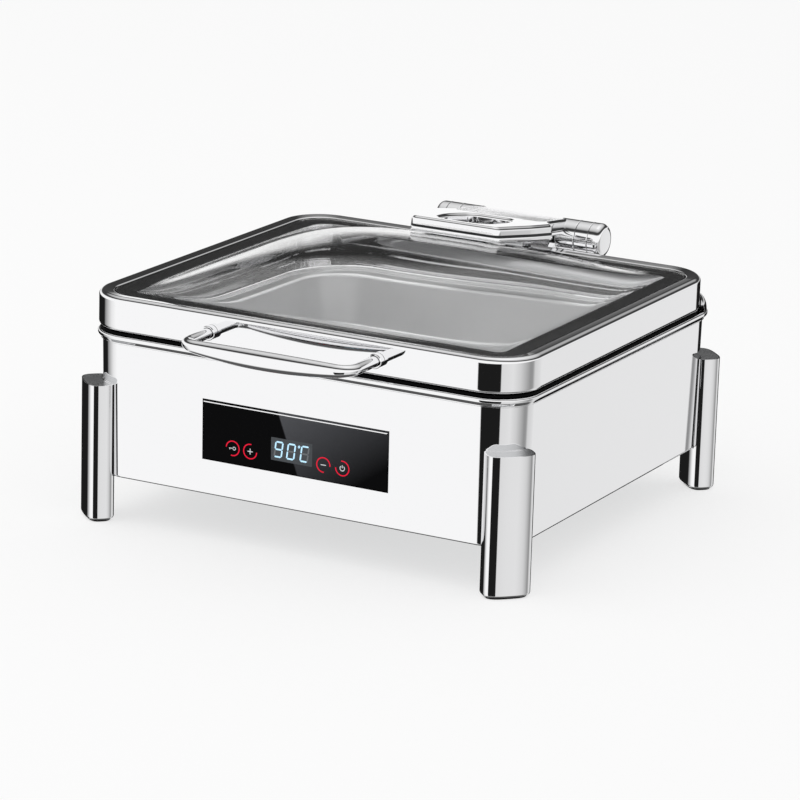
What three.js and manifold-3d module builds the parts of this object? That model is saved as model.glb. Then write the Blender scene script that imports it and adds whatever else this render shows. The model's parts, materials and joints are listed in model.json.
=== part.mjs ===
// Electric chafing dish with a hinged glass lid, millimetres, +Z up, front towards -Y.
// The inner frame has its origin on the floor under the middle of the casing.
import * as THREE from 'three';
import { mergeVertices } from 'three/addons/utils/BufferGeometryUtils.js';
import Module from 'manifold-3d';

const wasm = await Module();
wasm.setup();

// Driving sizes: casing, which stands out round the food pan's flange by its land
const casingLandSide = 33;
const casingLandDepth = 38.7;
const casingCornerRadius = 35;
const casingBottom = 40.4;
const casingHeight = 122.2;
const casingDraft = 1.85;
const sheetWall = 1.2;
const casingWall = 1.5;
const casingLip = 12;
const fitGap = 0.3;
const overrun = 3;

// Driving sizes: food pan, the 2/3 gastronorm size
const panFlangeWidth = 354;
const panFlangeDepth = 325;
const panFlangeRadius = 60;
const panFlangeRim = 13.5;
const panDepth = 65;
const panWall = 1;
const panDraft = 9;
const panFloorRound = 9;
const bendShare = 0.25;

// Driving sizes: water pan and its rim
const rimRise = 8.4;
const rimBead = 4.4;
const rimBeadDrop = 2.4;
const rimWaist = 1.7;
const rimLipInset = 1.2;
const ledgeRise = 3.1;
const ledgeClearance = 2;
const ledgeWidth = 11;
const heaterSpace = 34.6;
const waterPanDraft = 8;
const waterPanRound = 14;

// Driving sizes: raised ledge behind the lid
const hingeLedgeHeight = 16;
const hingeLedgeEndShare = 0.835;
const hingeLedgeSteps = 5;

// Driving sizes: lid frame, glass and seals
const lidSideLap = 4.4;
const lidFrontLap = 4.4;
const lidRearSetback = 12.8;
const lidCornerRadius = 41.5;
const lidLift = 3;
const lidHeight = 32.3;
const lidBottomRound = 5;
const lidBottomLip = 9;
const lidTopRound = 3;
const lidShoulder = 7;
const lidBandWidth = 13.7;
const lidBandFall = 1.7;
const lidEdgeShares = [[1, 0], [0.25, 0.3], [0, 1]];
const lidShoulderShares = [[0.2, 1], [0.6, 0.25], [1.4, 0]];
const lidSeatInner = 29;
const lidRearClearance = 1.6;
const glassThickness = 4;
const glassBorder = 19;
const glassEdgeGap = 0.3;
const domeHeight = 30;
const domePower = 3;
const domeShares = [0, 0.06, 0.15, 0.28, 0.46, 0.68, 0.9];
const sealThickness = 1.2;
const gasketInset = 1.6;
const gasketWidth = 6;

// Driving sizes: hinge
const hingeSetback = 20.8;
const hingeRise = 2.7;
const barrelRadius = 16.5;
const barrelHalfLength = 87;
const lugInner = 42;
const lugOuter = 61.5;
const damperOuter = 75;
const knuckleHalf = 36;
const knuckleRadius = 13;
const shaftRadius = 5;
const bushWall = 2;
const bushFlange = 1.4;
const capRound = 6;
const capRoundShares = [[0, 1], [0.2, 0.5], [1, 0.12]];
const bracketFootHalf = 36;
const bracketFootRise = 9;
const bracketWebThickness = 12;
const bracketBoltX = 24;
const bracketBoltRadius = 2.5;

// Driving sizes: hinge arm, with its outline and window as shares of their sizes
const armLength = 93;
const armNeckStart = 13;
const armRearSetback = 15.4;
const armFrontHalf = 45.5;
const armWaistHalf = 61;
const armNeckHalf = 50;
const armFrontRound = 9;
const armRise = 9.2;
const armThickness = 14;
const armBevel = 2.4;
const armCornerShares = [[1, 0], [0.3, 0.3], [0, 1]];
const armSideShares = [[0.41, 0.31], [0.74, 0.63], [0.93, 0.85], [1, 1]];
const armNeckShares = [[0.9, 0.4], [0.5, 0.9], [0.1, 1.25], [0, 1.7]];
const armFrontBar = 15;
const armRearBar = 11;
const windowHalf = 36;
const windowShares = [
  [0.33, 0.03], [0.61, 0.11], [0.78, 0.22], [0.84, 0.34], [0.95, 0.49], [1, 0.64], [1, 0.88], [0.94, 0.97],
  [0.78, 1],
];
const armBossHalf = 34;
const armBossDepth = 10;
const armPadThickness = 1.5;
const armFootHalf = 30;
const armFootReach = 9;
const armFootLip = 5;
const armFootSetback = 3;
const clampHalf = 32;
const clampDepth = 16;
const clampThickness = 3;
const armScrewX = 24;
const armScrewSetback = 10;
const armScrewRadius = 3;
const armScrewBite = 3.5;
const armScrewSeatGap = 0.6;

// Driving sizes: handle
const handleHalfWidth = 86.5;
const handleDrop = 0.15;
const handleReach = 55.5;
const gripMidHeight = 17;
const gripMidDepth = 14;
const armSectionWidth = 10;
const armSectionHeight = 9.5;
const handleCornerRadius = 13;
const gripSag = 3;
const collarGrowth = 1.4;
const collarLength = 6;
const collarGap = 0.45;
const handleScrewRadius = 2;
const handleScrewDepth = 16;

// Driving sizes: legs
const legLap = 84.6;
const legInset = 7.2;
const legHalfLong = 21.2;
const legHalfShort = 13.2;
const legWall = 2.5;
const legFootRound = 3;
const legFootShares = [[0.5, 0], [0.17, 0.33], [0, 1]];
const footPadProud = 1.5;
const footPadDepth = 6;
const legBoltRise = 43.6;
const legBoltRadius = 3;

// Driving sizes: control panel
const panelHalfWidth = 91.7;
const panelHeight = 54.1;
const panelDrop = 1.75;
const panelGlassThickness = 4;
const panelProud = 0.6;
const panelChamfer = 1;
const housingFlange = 6;
const housingDepth = 30;
const housingWall = 1.8;
const boardThickness = 1.6;
const displayWidth = 46;
const displayHeight = 24;
const displayDepth = 8;
const displayDrop = 5.8;
const boardPostSize = 7;

// Driving sizes: heater and its parts
const heaterInsetSide = 67;
const heaterInsetDepth = 67.5;
const heaterThickness = 6;
const heaterRadius = 20;
const insulationThickness = 9;
const insulationMargin = 6;
const trayLip = 10;
const trayFootInsetSide = 30;
const trayFootInsetDepth = 25;
const trayFootRadius = 7;
const sensorOffset = 25;
const sensorRadius = 5;
const sensorHeight = 14;
const cutoutRadius = 9;
const cutoutStemRadius = 5;
const cutoutDrop = 5;

// Driving sizes: base plate and power inlet
const ventCount = 7;
const ventPitch = 16;
const ventWidth = 5;
const ventLength = 70;
const ventRowInset = 109.2;
const baseScrewInsetSide = 20;
const baseScrewInsetDepth = 81.2;
const baseScrewRadius = 2;
const inletInset = 80;
const inletRise = 37.6;
const inletHalfWidth = 14;
const inletHalfHeight = 10.5;
const inletDepth = 24;
const inletFlange = 4;
const inletFlangeThickness = 2;
const inletCavityWall = 2.2;
const inletPinHeight = 4;
const inletPinWidth = 2;
const inletPinPitch = 7;
const inletPinLength = 14;

// Driving sizes: screw heads
const headGrowth = 2.4;
const headHeight = 2.6;

// Numbers of steps in round stretches
const cornerSteps = 6;
const roundSides = 16;
const headSides = 10;
const shankSides = 8;
const glassCornerSteps = 3;
const glassSideSteps = 5;
const legSides = 20;
const handleSides = 10;
const gripSteps = 4;
const bendSteps = 3;

// Points closer than this are one point
const weldDistance = 0.0001;

// Finishes
const polishedSteel = new THREE.MeshStandardMaterial({ color: 0xe6e7e8, roughness: 0.06, metalness: 1 });
const satinSteel = new THREE.MeshStandardMaterial({ color: 0xc9cbcc, roughness: 0.38, metalness: 1 });
const darkSteel = new THREE.MeshStandardMaterial({ color: 0x8d9093, roughness: 0.45, metalness: 1 });
const castAluminium = new THREE.MeshStandardMaterial({ color: 0xb4b6b8, roughness: 0.5, metalness: 1 });
const clearGlass = new THREE.MeshStandardMaterial({
  color: 0xdfe6e4, roughness: 0.03, metalness: 0, transparent: true, opacity: 0.3,
});
const blackGlass = new THREE.MeshStandardMaterial({ color: 0x08080a, roughness: 0.05, metalness: 0 });
const blackSilicone = new THREE.MeshStandardMaterial({ color: 0x151516, roughness: 0.6, metalness: 0 });
const blackPlastic = new THREE.MeshStandardMaterial({ color: 0x1b1c1e, roughness: 0.5, metalness: 0 });
const greenBoard = new THREE.MeshStandardMaterial({ color: 0x1d4a2c, roughness: 0.55, metalness: 0 });
const greyDisplay = new THREE.MeshStandardMaterial({ color: 0x565f66, roughness: 0.3, metalness: 0 });
const whiteInsulation = new THREE.MeshStandardMaterial({ color: 0xd9d6cc, roughness: 0.95, metalness: 0 });
const brass = new THREE.MeshStandardMaterial({ color: 0xb59a58, roughness: 0.35, metalness: 1 });

// Places that follow from the driving sizes
const casingHalfWidth = panFlangeWidth / 2 + casingLandSide;
const casingHalfDepth = panFlangeDepth / 2 + casingLandDepth;
const casingTop = casingBottom + casingHeight;
const rimTop = casingTop + rimRise;
const ledgeTop = casingTop + ledgeRise;
const waterPanFloor = casingBottom + heaterSpace;
const lidHalfWidth = casingHalfWidth + lidSideLap;
const lidFront = -casingHalfDepth - lidFrontLap;
const lidRear = casingHalfDepth - lidRearSetback;
const lidBottom = rimTop + lidLift;
const lidTop = lidBottom + lidHeight;
const hingeAxisY = casingHalfDepth + hingeSetback;
const hingeAxisZ = lidTop + hingeRise;
const handleHeight = (lidBottom + lidBottomRound + lidTop - lidShoulder) / 2 - handleDrop;
const armRear = lidRear - armRearSetback;
const armWaist = armRear - armNeckStart;
const armFront = armRear - armLength;
const windowFront = armFront + armFrontBar;
const windowRear = armRear - armRearBar;
const armScrewY = armFront + armScrewSetback;
const legTop = casingBottom + legLap;
const legCentreX = casingHalfWidth - legInset;
const legCentreY = casingHalfDepth - legInset;
const legBoltHeight = casingBottom + legBoltRise;
const panelCentreZ = (casingBottom + casingTop) / 2 - panelDrop;
const heaterHalfWidth = panFlangeWidth / 2 - heaterInsetSide;
const heaterHalfDepth = panFlangeDepth / 2 - heaterInsetDepth;
const trayFootX = heaterHalfWidth - trayFootInsetSide;
const trayFootY = heaterHalfDepth - trayFootInsetDepth;
const sensorX = heaterHalfWidth + sensorOffset;
const ventRow = casingHalfDepth - ventRowInset;
const baseScrewX = casingHalfWidth - baseScrewInsetSide;
const baseScrewY = casingHalfDepth - baseScrewInsetDepth;
const inletX = casingHalfWidth - inletInset;
const inletZ = casingBottom + inletRise;

// Values that follow from these places
const panCentreY = (lidFront + lidRear) / 2;
const lidHalfDepth = (lidRear - lidFront) / 2;
const frontReach = -lidFront + handleReach;
const rearReach = hingeAxisY + barrelRadius;
const centreShift = (frontReach - rearReach) / 2;
const draftSlope = casingDraft / (casingTop - casingBottom);
const boreGap = fitGap;
const shaftBore = shaftRadius + boreGap;
const seatTop = lidTop - lidBandFall - fitGap - glassThickness - fitGap - sealThickness - fitGap;
const glassTop = lidTop - lidBandFall - fitGap;
const glassBottom = glassTop - glassThickness;
const domeTop = lidTop + domeHeight;
const armTopFront = glassTop + domeHeight + armRise;
const clearHalfX = lidHalfWidth - lidBandWidth - glassBorder;
const clearHalfY = lidHalfDepth - lidBandWidth - glassBorder;
const clearRadius = lidCornerRadius - lidBandWidth - glassBorder;
const gasketBottom = rimTop + fitGap;
const basePlateBottom = casingBottom + casingWall + fitGap;
const basePlateTop = basePlateBottom + sheetWall;
const bracketBoltY = (lidRear + lidRearClearance + casingHalfDepth + rimBead) / 2;
const bracketFootTop = rimTop + hingeLedgeHeight + bracketFootRise;
const armTilt = Math.atan2(armTopFront - hingeAxisZ - barrelRadius, hingeAxisY - armFront);
const handleArmX = handleHalfWidth - armSectionWidth / 2;
const handleGripY = lidFront - handleReach + gripMidDepth / 2;
const heaterTop = waterPanFloor - fitGap;
const heaterBottom = heaterTop - heaterThickness;
const insulationTop = heaterBottom - fitGap;
const insulationBottom = insulationTop - insulationThickness;
const cornerSigns = [[-1, -1], [1, -1], [-1, 1], [1, 1]];
const cornerNames = ['front_left', 'front_right', 'rear_left', 'rear_right'];
const sideSigns = [-1, 1];
const sideNames = ['left', 'right'];

const casingBase = { halfX: casingHalfWidth, halfY: casingHalfDepth, radius: casingCornerRadius, centreY: 0 };
const lidBase = { halfX: lidHalfWidth, halfY: lidHalfDepth, radius: lidCornerRadius, centreY: panCentreY };
const panBase = {
  halfX: panFlangeWidth / 2, halfY: panFlangeDepth / 2, radius: panFlangeRadius, centreY: panCentreY,
};
const heaterBase = {
  halfX: heaterHalfWidth, halfY: heaterHalfDepth, radius: heaterRadius, centreY: panCentreY,
};

// Rounded outlines: one ring of a base outline, moved out by an offset and set at a height
function at(base, offset, height) {
  return {
    halfX: base.halfX + offset,
    halfY: base.halfY + offset,
    radius: base.radius + offset,
    centreY: base.centreY,
    height,
  };
}

function ringPoints(ring, steps = cornerSteps, sideSteps = 1) {
  const points = [];
  const insetX = ring.halfX - ring.radius;
  const insetY = ring.halfY - ring.radius;
  const corners = [[1, -1, -0.5], [1, 1, 0], [-1, 1, 0.5], [-1, -1, 1]];
  corners.forEach(([signX, signY, startShare], index) => {
    for (let step = 0; step <= steps; step += 1) {
      const angle = Math.PI * (startShare + (step / steps) / 2);
      points.push([
        signX * insetX + ring.radius * Math.cos(angle),
        ring.centreY + signY * insetY + ring.radius * Math.sin(angle),
      ]);
    }
    const [nextX, nextY] = corners[(index + 1) % corners.length];
    const from = points[points.length - 1];
    const nextAngle = Math.PI * (startShare + 0.5);
    const to = [
      nextX * insetX + ring.radius * Math.cos(nextAngle),
      ring.centreY + nextY * insetY + ring.radius * Math.sin(nextAngle),
    ];
    for (let step = 1; step < sideSteps; step += 1) {
      const share = step / sideSteps;
      points.push([from[0] + (to[0] - from[0]) * share, from[1] + (to[1] - from[1]) * share]);
    }
  });
  return points;
}

// Closed body through a list of equal outlines of [x, y, z] points
function skin(outlines, closed) {
  const count = outlines[0].length;
  const positions = outlines.flat(2);
  const faces = [];
  const last = closed ? outlines.length : outlines.length - 1;
  for (let row = 0; row < last; row += 1) {
    const next = (row + 1) % outlines.length;
    for (let column = 0; column < count; column += 1) {
      const side = (column + 1) % count;
      const a = row * count + column;
      const b = row * count + side;
      const c = next * count + side;
      const d = next * count + column;
      faces.push(a, b, c, a, c, d);
    }
  }
  if (!closed) {
    faces.push(...cap(outlines[0], 0, false));
    faces.push(...cap(outlines[outlines.length - 1], (outlines.length - 1) * count, true));
  }
  return outward(positions, faces);
}

// Flat end of a skin: the outline is laid on its own plane and filled
function cap(outline, start, forward) {
  const normal = new THREE.Vector3();
  const points = outline.map((point) => new THREE.Vector3(...point));
  points.forEach((point, index) => {
    const next = points[(index + 1) % points.length];
    normal.x += (point.y - next.y) * (point.z + next.z);
    normal.y += (point.z - next.z) * (point.x + next.x);
    normal.z += (point.x - next.x) * (point.y + next.y);
  });
  normal.normalize();
  const turn = new THREE.Quaternion().setFromUnitVectors(normal, new THREE.Vector3(0, 0, 1));
  const flat = points.map((point) => {
    const laid = point.clone().applyQuaternion(turn);
    return new THREE.Vector2(laid.x, laid.y);
  });
  const triangles = THREE.ShapeUtils.triangulateShape(flat, []);
  return triangles.flatMap(([a, b, c]) => (
    forward ? [start + a, start + b, start + c] : [start + a, start + c, start + b]));
}

function outward(positions, faces) {
  let volume = 0;
  for (let index = 0; index < faces.length; index += 3) {
    const [a, b, c] = [0, 1, 2].map((corner) => (
      new THREE.Vector3().fromArray(positions, 3 * faces[index + corner])));
    volume += a.dot(b.cross(c));
  }
  const ordered = volume >= 0 ? faces : [...faces].reverse();
  const geometry = new THREE.BufferGeometry();
  geometry.setAttribute('position', new THREE.Float32BufferAttribute(positions, 3));
  geometry.setIndex(ordered);
  return geometry;
}

function ringSkin(rings, closed, steps = cornerSteps) {
  const outlines = rings.map((ring) => (
    ringPoints(ring, steps).map(([x, y]) => [x, y, ring.height])));
  return skin(outlines, closed);
}

// Sheet metal: a path of rings is one face, and the wall lies on its left
function wallRings(path, wall) {
  return path.map((ring, index) => {
    const before = path[Math.max(index - 1, 0)];
    const after = path[Math.min(index + 1, path.length - 1)];
    const into = new THREE.Vector2(ring.halfX - before.halfX, ring.height - before.height);
    const out = new THREE.Vector2(after.halfX - ring.halfX, after.height - ring.height);
    const directions = [into, out].filter((step) => step.length() > 0).map((step) => step.normalize());
    const normals = directions.map((step) => new THREE.Vector2(-step.y, step.x));
    const sum = normals.reduce((total, normal) => total.add(normal), new THREE.Vector2());
    const mitre = sum.clone().normalize();
    const stretch = wall / mitre.dot(new THREE.Vector2(-directions[0].y, directions[0].x));
    return at(ring, mitre.x * stretch, ring.height + mitre.y * stretch);
  });
}

function sheetBand(path, wall) {
  return ringSkin([...path, ...wallRings(path, wall).reverse()], true);
}

function sheetPan(path, wall) {
  return ringSkin([...path, ...wallRings(path, wall).reverse()], false);
}

// Booleans
function toSolid(geometry) {
  const plain = geometry.clone();
  plain.deleteAttribute('normal');
  plain.deleteAttribute('uv');
  const merged = mergeVertices(plain, weldDistance);
  const mesh = new wasm.Mesh({
    numProp: 3,
    vertProperties: new Float32Array(merged.attributes.position.array),
    triVerts: new Uint32Array(merged.index.array),
  });
  return new wasm.Manifold(mesh);
}

function toGeometry(solid) {
  const mesh = solid.getMesh();
  const positions = [];
  for (let index = 0; index < mesh.vertProperties.length; index += mesh.numProp) {
    positions.push(...mesh.vertProperties.slice(index, index + 3));
  }
  const geometry = new THREE.BufferGeometry();
  geometry.setAttribute('position', new THREE.Float32BufferAttribute(positions, 3));
  geometry.setIndex([...mesh.triVerts]);
  return geometry;
}

function join(parts) {
  return parts.reduce((total, part) => total.add(part));
}

// Plain shapes as solids: a block between corners, a round bar along an axis, a flat outline
function block(low, high) {
  const size = high.map((value, axis) => value - low[axis]);
  const geometry = new THREE.BoxGeometry(...size);
  geometry.translate(...low.map((value, axis) => value + size[axis] / 2));
  return toSolid(geometry);
}

function bar(axis, radius, from, to, centre, sides = roundSides) {
  const geometry = new THREE.CylinderGeometry(radius, radius, to - from, sides);
  geometry.translate(0, (from + to) / 2, 0);
  if (axis === 'x') {
    geometry.rotateZ(-Math.PI / 2);
  }
  if (axis === 'z') {
    geometry.rotateX(Math.PI / 2);
  }
  geometry.translate(...centre);
  return toSolid(geometry);
}

function prism(points, from, to) {
  const shape = new THREE.Shape(points.map(([x, y]) => new THREE.Vector2(x, y)));
  const geometry = new THREE.ExtrudeGeometry(shape, { depth: to - from, bevelEnabled: false });
  geometry.translate(0, 0, from);
  return toSolid(geometry);
}

function ringBlock(base, offset, from, to) {
  return toSolid(ringSkin([at(base, offset, from), at(base, offset, to)], false));
}

function piece(name, shape, material) {
  const geometry = shape.isBufferGeometry ? shape : toGeometry(shape);
  const mesh = new THREE.Mesh(geometry, material);
  mesh.name = name;
  return mesh;
}

// Screw along -Z or +Z: a head and its shank
function screw(radius, x, y, headFrom, headTo, shankTo) {
  const headRadius = radius + headGrowth;
  const shankFrom = shankTo > headTo ? headFrom : headTo;
  const low = Math.min(shankFrom, shankTo);
  const high = Math.max(shankFrom, shankTo);
  return join([
    bar('z', headRadius, headFrom, headTo, [x, y, 0], headSides),
    bar('z', radius, low, high, [x, y, 0], shankSides),
  ]);
}

// Outer faces of the casing at a height
function casingInset(height) {
  return (casingTop - height) * draftSlope;
}

// Casing and base
function casingShell() {
  const path = [
    at(casingBase, -casingLip, casingBottom),
    at(casingBase, -casingDraft, casingBottom),
    at(casingBase, 0, casingTop),
  ];
  const shell = toSolid(sheetBand(path, casingWall));
  const panelCut = block(
    [-panelHalfWidth - fitGap, -casingHalfDepth - overrun, panelCentreZ - panelHeight / 2 - fitGap],
    [panelHalfWidth + fitGap, -casingHalfDepth + casingLip, panelCentreZ + panelHeight / 2 + fitGap],
  );
  const inletCut = block(
    [inletX - inletHalfWidth - fitGap, casingHalfDepth - casingLip, inletZ - inletHalfHeight - fitGap],
    [inletX + inletHalfWidth + fitGap, casingHalfDepth + overrun, inletZ + inletHalfHeight + fitGap],
  );
  const boltHoles = join(cornerSigns.map(([signX, signY]) => (
    legBoltBar(signX, signY, legBoltRadius + boreGap))));
  const screwHoles = join(cornerSigns.map(([signX, signY]) => bar(
    'z', baseScrewRadius + boreGap, casingBottom - overrun, casingBottom + overrun + casingWall,
    [signX * baseScrewX, signY * baseScrewY, 0], shankSides,
  )));
  return shell.subtract(join([panelCut, inletCut, boltHoles, screwHoles]));
}

function basePlate() {
  const inset = -casingDraft - casingWall - fitGap;
  const plate = ringBlock(casingBase, inset, basePlateBottom, basePlateTop);
  const slots = [];
  sideSigns.forEach((signY) => {
    for (let index = 0; index < ventCount; index += 1) {
      const x = (index - (ventCount - 1) / 2) * ventPitch;
      slots.push(block(
        [x - ventWidth / 2, signY * ventRow - ventLength / 2, basePlateBottom - overrun],
        [x + ventWidth / 2, signY * ventRow + ventLength / 2, basePlateTop + overrun],
      ));
    }
  });
  cornerSigns.forEach(([signX, signY]) => slots.push(bar(
    'z', baseScrewRadius + boreGap, basePlateBottom - overrun, basePlateTop + overrun,
    [signX * baseScrewX, signY * baseScrewY, 0], shankSides,
  )));
  return plate.subtract(join(slots));
}

function baseScrew(signX, signY) {
  const headTop = casingBottom - fitGap;
  return screw(
    baseScrewRadius, signX * baseScrewX, signY * baseScrewY,
    headTop - headHeight, headTop, basePlateTop + headHeight,
  );
}

// Pans
const waterWallBase = at(panBase, ledgeClearance - ledgeWidth, 0);
const riserBase = at(panBase, ledgeClearance, 0);

function waterPan() {
  const rimUnder = rimTop - sheetWall;
  const ledgeUnder = ledgeTop - sheetWall;
  const hookHeight = casingTop + fitGap + sheetWall;
  const beadInner = rimBead - sheetWall;
  const path = [
    at(waterWallBase, -waterPanDraft - waterPanRound, waterPanFloor),
    at(waterWallBase, -waterPanDraft - waterPanRound * bendShare, waterPanFloor + waterPanRound * bendShare),
    at(waterWallBase, -waterPanDraft, waterPanFloor + waterPanRound),
    at(waterWallBase, 0, ledgeUnder),
    at(riserBase, sheetWall, ledgeUnder),
    at(riserBase, sheetWall, rimUnder),
    at(casingBase, beadInner - sheetWall, rimUnder),
    at(casingBase, beadInner, rimTop - rimBeadDrop),
    at(casingBase, rimWaist - sheetWall, hookHeight),
    at(casingBase, -rimLipInset, hookHeight),
  ];
  return toSolid(sheetPan(path, sheetWall));
}

function foodPan() {
  const flangeUnder = ledgeTop + fitGap;
  const mouth = -panFlangeRim;
  const floor = flangeUnder + panWall - panDepth;
  const path = [
    at(panBase, mouth - panDraft - panFloorRound, floor),
    at(panBase, mouth - panDraft - panFloorRound * bendShare, floor + panFloorRound * bendShare),
    at(panBase, mouth - panDraft, floor + panFloorRound),
    at(panBase, mouth, flangeUnder - panWall),
    at(panBase, mouth + panWall, flangeUnder),
    at(panBase, 0, flangeUnder),
  ];
  return sheetPan(path, panWall);
}

// Raised ledge behind the lid: a quarter round that rises from the bead
function ledgeBody(inset, drop) {
  const start = rimTop + fitGap;
  const reach = rimBead - rimWaist / 2;
  const run = reach + casingHalfDepth - lidRear;
  const rings = [];
  for (let step = 0; step <= hingeLedgeSteps; step += 1) {
    const angle = (step / hingeLedgeSteps) * (Math.PI / 2);
    const offset = reach - run * hingeLedgeEndShare * (1 - Math.cos(angle)) - inset;
    rings.push(at(casingBase, offset, start + (hingeLedgeHeight - drop) * Math.sin(angle)));
  }
  return toSolid(ringSkin(rings, false));
}

function hingeLedge() {
  const start = rimTop + fitGap;
  const lidSpace = ringBlock(lidBase, lidRearClearance, start - overrun, lidTop);
  const lidSpaceInner = ringBlock(lidBase, lidRearClearance + sheetWall, start - overrun, lidTop);
  const cutFront = casingHalfDepth - casingCornerRadius + overrun;
  const half = casingHalfWidth + casingCornerRadius;
  const keep = block([-half, cutFront, start - overrun], [half, hingeAxisY + barrelRadius, lidTop]);
  const keepInner = block(
    [-half, cutFront + sheetWall, start - overrun], [half, hingeAxisY + barrelRadius, lidTop],
  );
  const sunk = ledgeBody(sheetWall, sheetWall).translate([0, 0, -fitGap]);
  const hollow = sunk.subtract(lidSpaceInner).intersect(keepInner);
  const bolts = join(sideSigns.map((sign) => bar(
    'z', bracketBoltRadius + boreGap, start - overrun, lidTop,
    [sign * bracketBoltX, bracketBoltY, 0], shankSides,
  )));
  return ledgeBody(0, 0).subtract(lidSpace).intersect(keep).subtract(hollow).subtract(bolts);
}

// Hinge
function hingeBracket() {
  const footFront = lidRear + lidRearClearance + fitGap;
  const footRear = casingHalfDepth + rimBead;
  const foot = block(
    [-bracketFootHalf, footFront, rimTop + hingeLedgeHeight / 2],
    [bracketFootHalf, footRear, bracketFootTop],
  );
  const saddle = ledgeBody(-fitGap, 0).translate([0, 0, fitGap]);
  const webLow = bracketFootTop - bracketWebThickness / 2;
  const web = prism([
    [footRear - bracketWebThickness, webLow],
    [footRear, webLow - bracketFootRise / 2],
    [hingeAxisY + knuckleRadius / 2, hingeAxisZ - knuckleRadius / 2],
    [hingeAxisY - knuckleRadius / 2, hingeAxisZ + knuckleRadius / 4],
  ], -bracketFootHalf, bracketFootHalf).rotate([90, 0, 90]);
  const knuckle = bar('x', knuckleRadius, -knuckleHalf, knuckleHalf, [0, hingeAxisY, hingeAxisZ]);
  const boreHalf = knuckleHalf + overrun;
  const bore = bar('x', shaftBore, -boreHalf, boreHalf, [0, hingeAxisY, hingeAxisZ]);
  const bolts = join(sideSigns.map((sign) => bar(
    'z', bracketBoltRadius + boreGap, rimTop, hingeAxisZ + barrelRadius,
    [sign * bracketBoltX, bracketBoltY, 0], shankSides,
  )));
  const sunkHeads = join(sideSigns.map((sign) => bar(
    'z', bracketBoltRadius + headGrowth + boreGap, bracketFootTop - headHeight, hingeAxisZ + barrelRadius,
    [sign * bracketBoltX, bracketBoltY, 0], headSides,
  )));
  return join([foot.subtract(saddle), web, knuckle]).subtract(join([bore, bolts, sunkHeads]));
}

function bracketBolt(sign) {
  const seat = bracketFootTop - headHeight + fitGap;
  return screw(
    bracketBoltRadius, sign * bracketBoltX, bracketBoltY, seat, seat + headHeight, rimTop + fitGap,
  );
}

function hingeShaft() {
  const half = damperOuter + capRound;
  return bar('x', shaftRadius, -half, half, [0, hingeAxisY, hingeAxisZ]);
}

// A piece on the right of the hinge axis, turned over for the left
function onSide(sign, from, to, radius, bore) {
  const low = Math.min(sign * from, sign * to);
  const high = Math.max(sign * from, sign * to);
  const centre = [0, hingeAxisY, hingeAxisZ];
  const body = bar('x', radius, low, high, centre);
  return bore > 0 ? body.subtract(bar('x', bore, low - overrun, high + overrun, centre)) : body;
}

function damper(sign) {
  return onSide(sign, lugOuter + fitGap, damperOuter, barrelRadius, shaftBore);
}

function hingeCap(sign) {
  const from = damperOuter + fitGap;
  const length = barrelHalfLength - from;
  const profile = [
    new THREE.Vector2(0, 0),
    new THREE.Vector2(barrelRadius, 0),
    ...capRoundShares.map(([inward, back]) => (
      new THREE.Vector2(barrelRadius - capRound * inward, length - capRound * back))),
    new THREE.Vector2(0, length),
  ];
  const geometry = new THREE.LatheGeometry(profile, roundSides);
  geometry.rotateZ(-sign * Math.PI / 2);
  geometry.translate(sign * from, hingeAxisY, hingeAxisZ);
  const end = damperOuter + capRound + fitGap;
  return toSolid(geometry).subtract(onSide(sign, from - overrun, end, shaftBore, 0));
}

function hingeBush(sign) {
  const tube = onSide(sign, knuckleHalf + fitGap, lugOuter, shaftBore + bushWall, 0);
  const flangeEnd = lugInner - fitGap;
  const flange = onSide(sign, knuckleHalf + fitGap, flangeEnd, shaftBore + bushWall + bushFlange, 0);
  const bore = onSide(sign, knuckleHalf - overrun, lugOuter + overrun, shaftBore, 0);
  return join([tube, flange]).subtract(bore);
}

// Dome of the lid glass
function domeAt(x, y) {
  const shareX = Math.min(Math.abs(x) / clearHalfX, 1);
  const shareY = Math.min(Math.abs(y - panCentreY) / clearHalfY, 1);
  return domeHeight * (1 - shareX ** domePower) * (1 - shareY ** domePower);
}

function domeRings() {
  return domeShares.map((share) => {
    const keep = 1 - share;
    return {
      halfX: clearHalfX * keep,
      halfY: clearHalfY * keep,
      radius: (clearRadius + (clearHalfY / 2 - clearRadius) * share) * keep,
      centreY: panCentreY,
    };
  });
}

function domeOutlines(lift, flatRings) {
  const flat = flatRings.map((ring) => (
    ringPoints(ring, glassCornerSteps, glassSideSteps).map(([x, y]) => [x, y, lift])));
  const bowed = domeRings().map((ring) => (
    ringPoints(ring, glassCornerSteps, glassSideSteps).map(([x, y]) => [x, y, lift + domeAt(x, y)])));
  return [...flat, ...bowed];
}

function lidGlass() {
  const edge = at(lidBase, -lidBandWidth - glassEdgeGap, 0);
  const upper = domeOutlines(glassTop, [edge]);
  const lower = domeOutlines(glassBottom, [edge]);
  const holes = join(sideSigns.map((sign) => bar(
    'z', armScrewRadius + boreGap + fitGap, lidBottom, domeTop,
    [sign * armScrewX, armScrewY, 0], shankSides,
  )));
  return toSolid(skin([...lower.reverse(), ...upper], false)).subtract(holes);
}

// Everything below a surface parallel to the dome
function underDome(lift) {
  const floor = lidBottom - lidTop;
  const edge = at(lidBase, -lidBandWidth, 0);
  const upper = domeOutlines(lift, [edge]);
  const lower = ringPoints(edge, glassCornerSteps, glassSideSteps).map(([x, y]) => [x, y, lift + floor]);
  return toSolid(skin([lower, ...upper], false));
}

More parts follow.
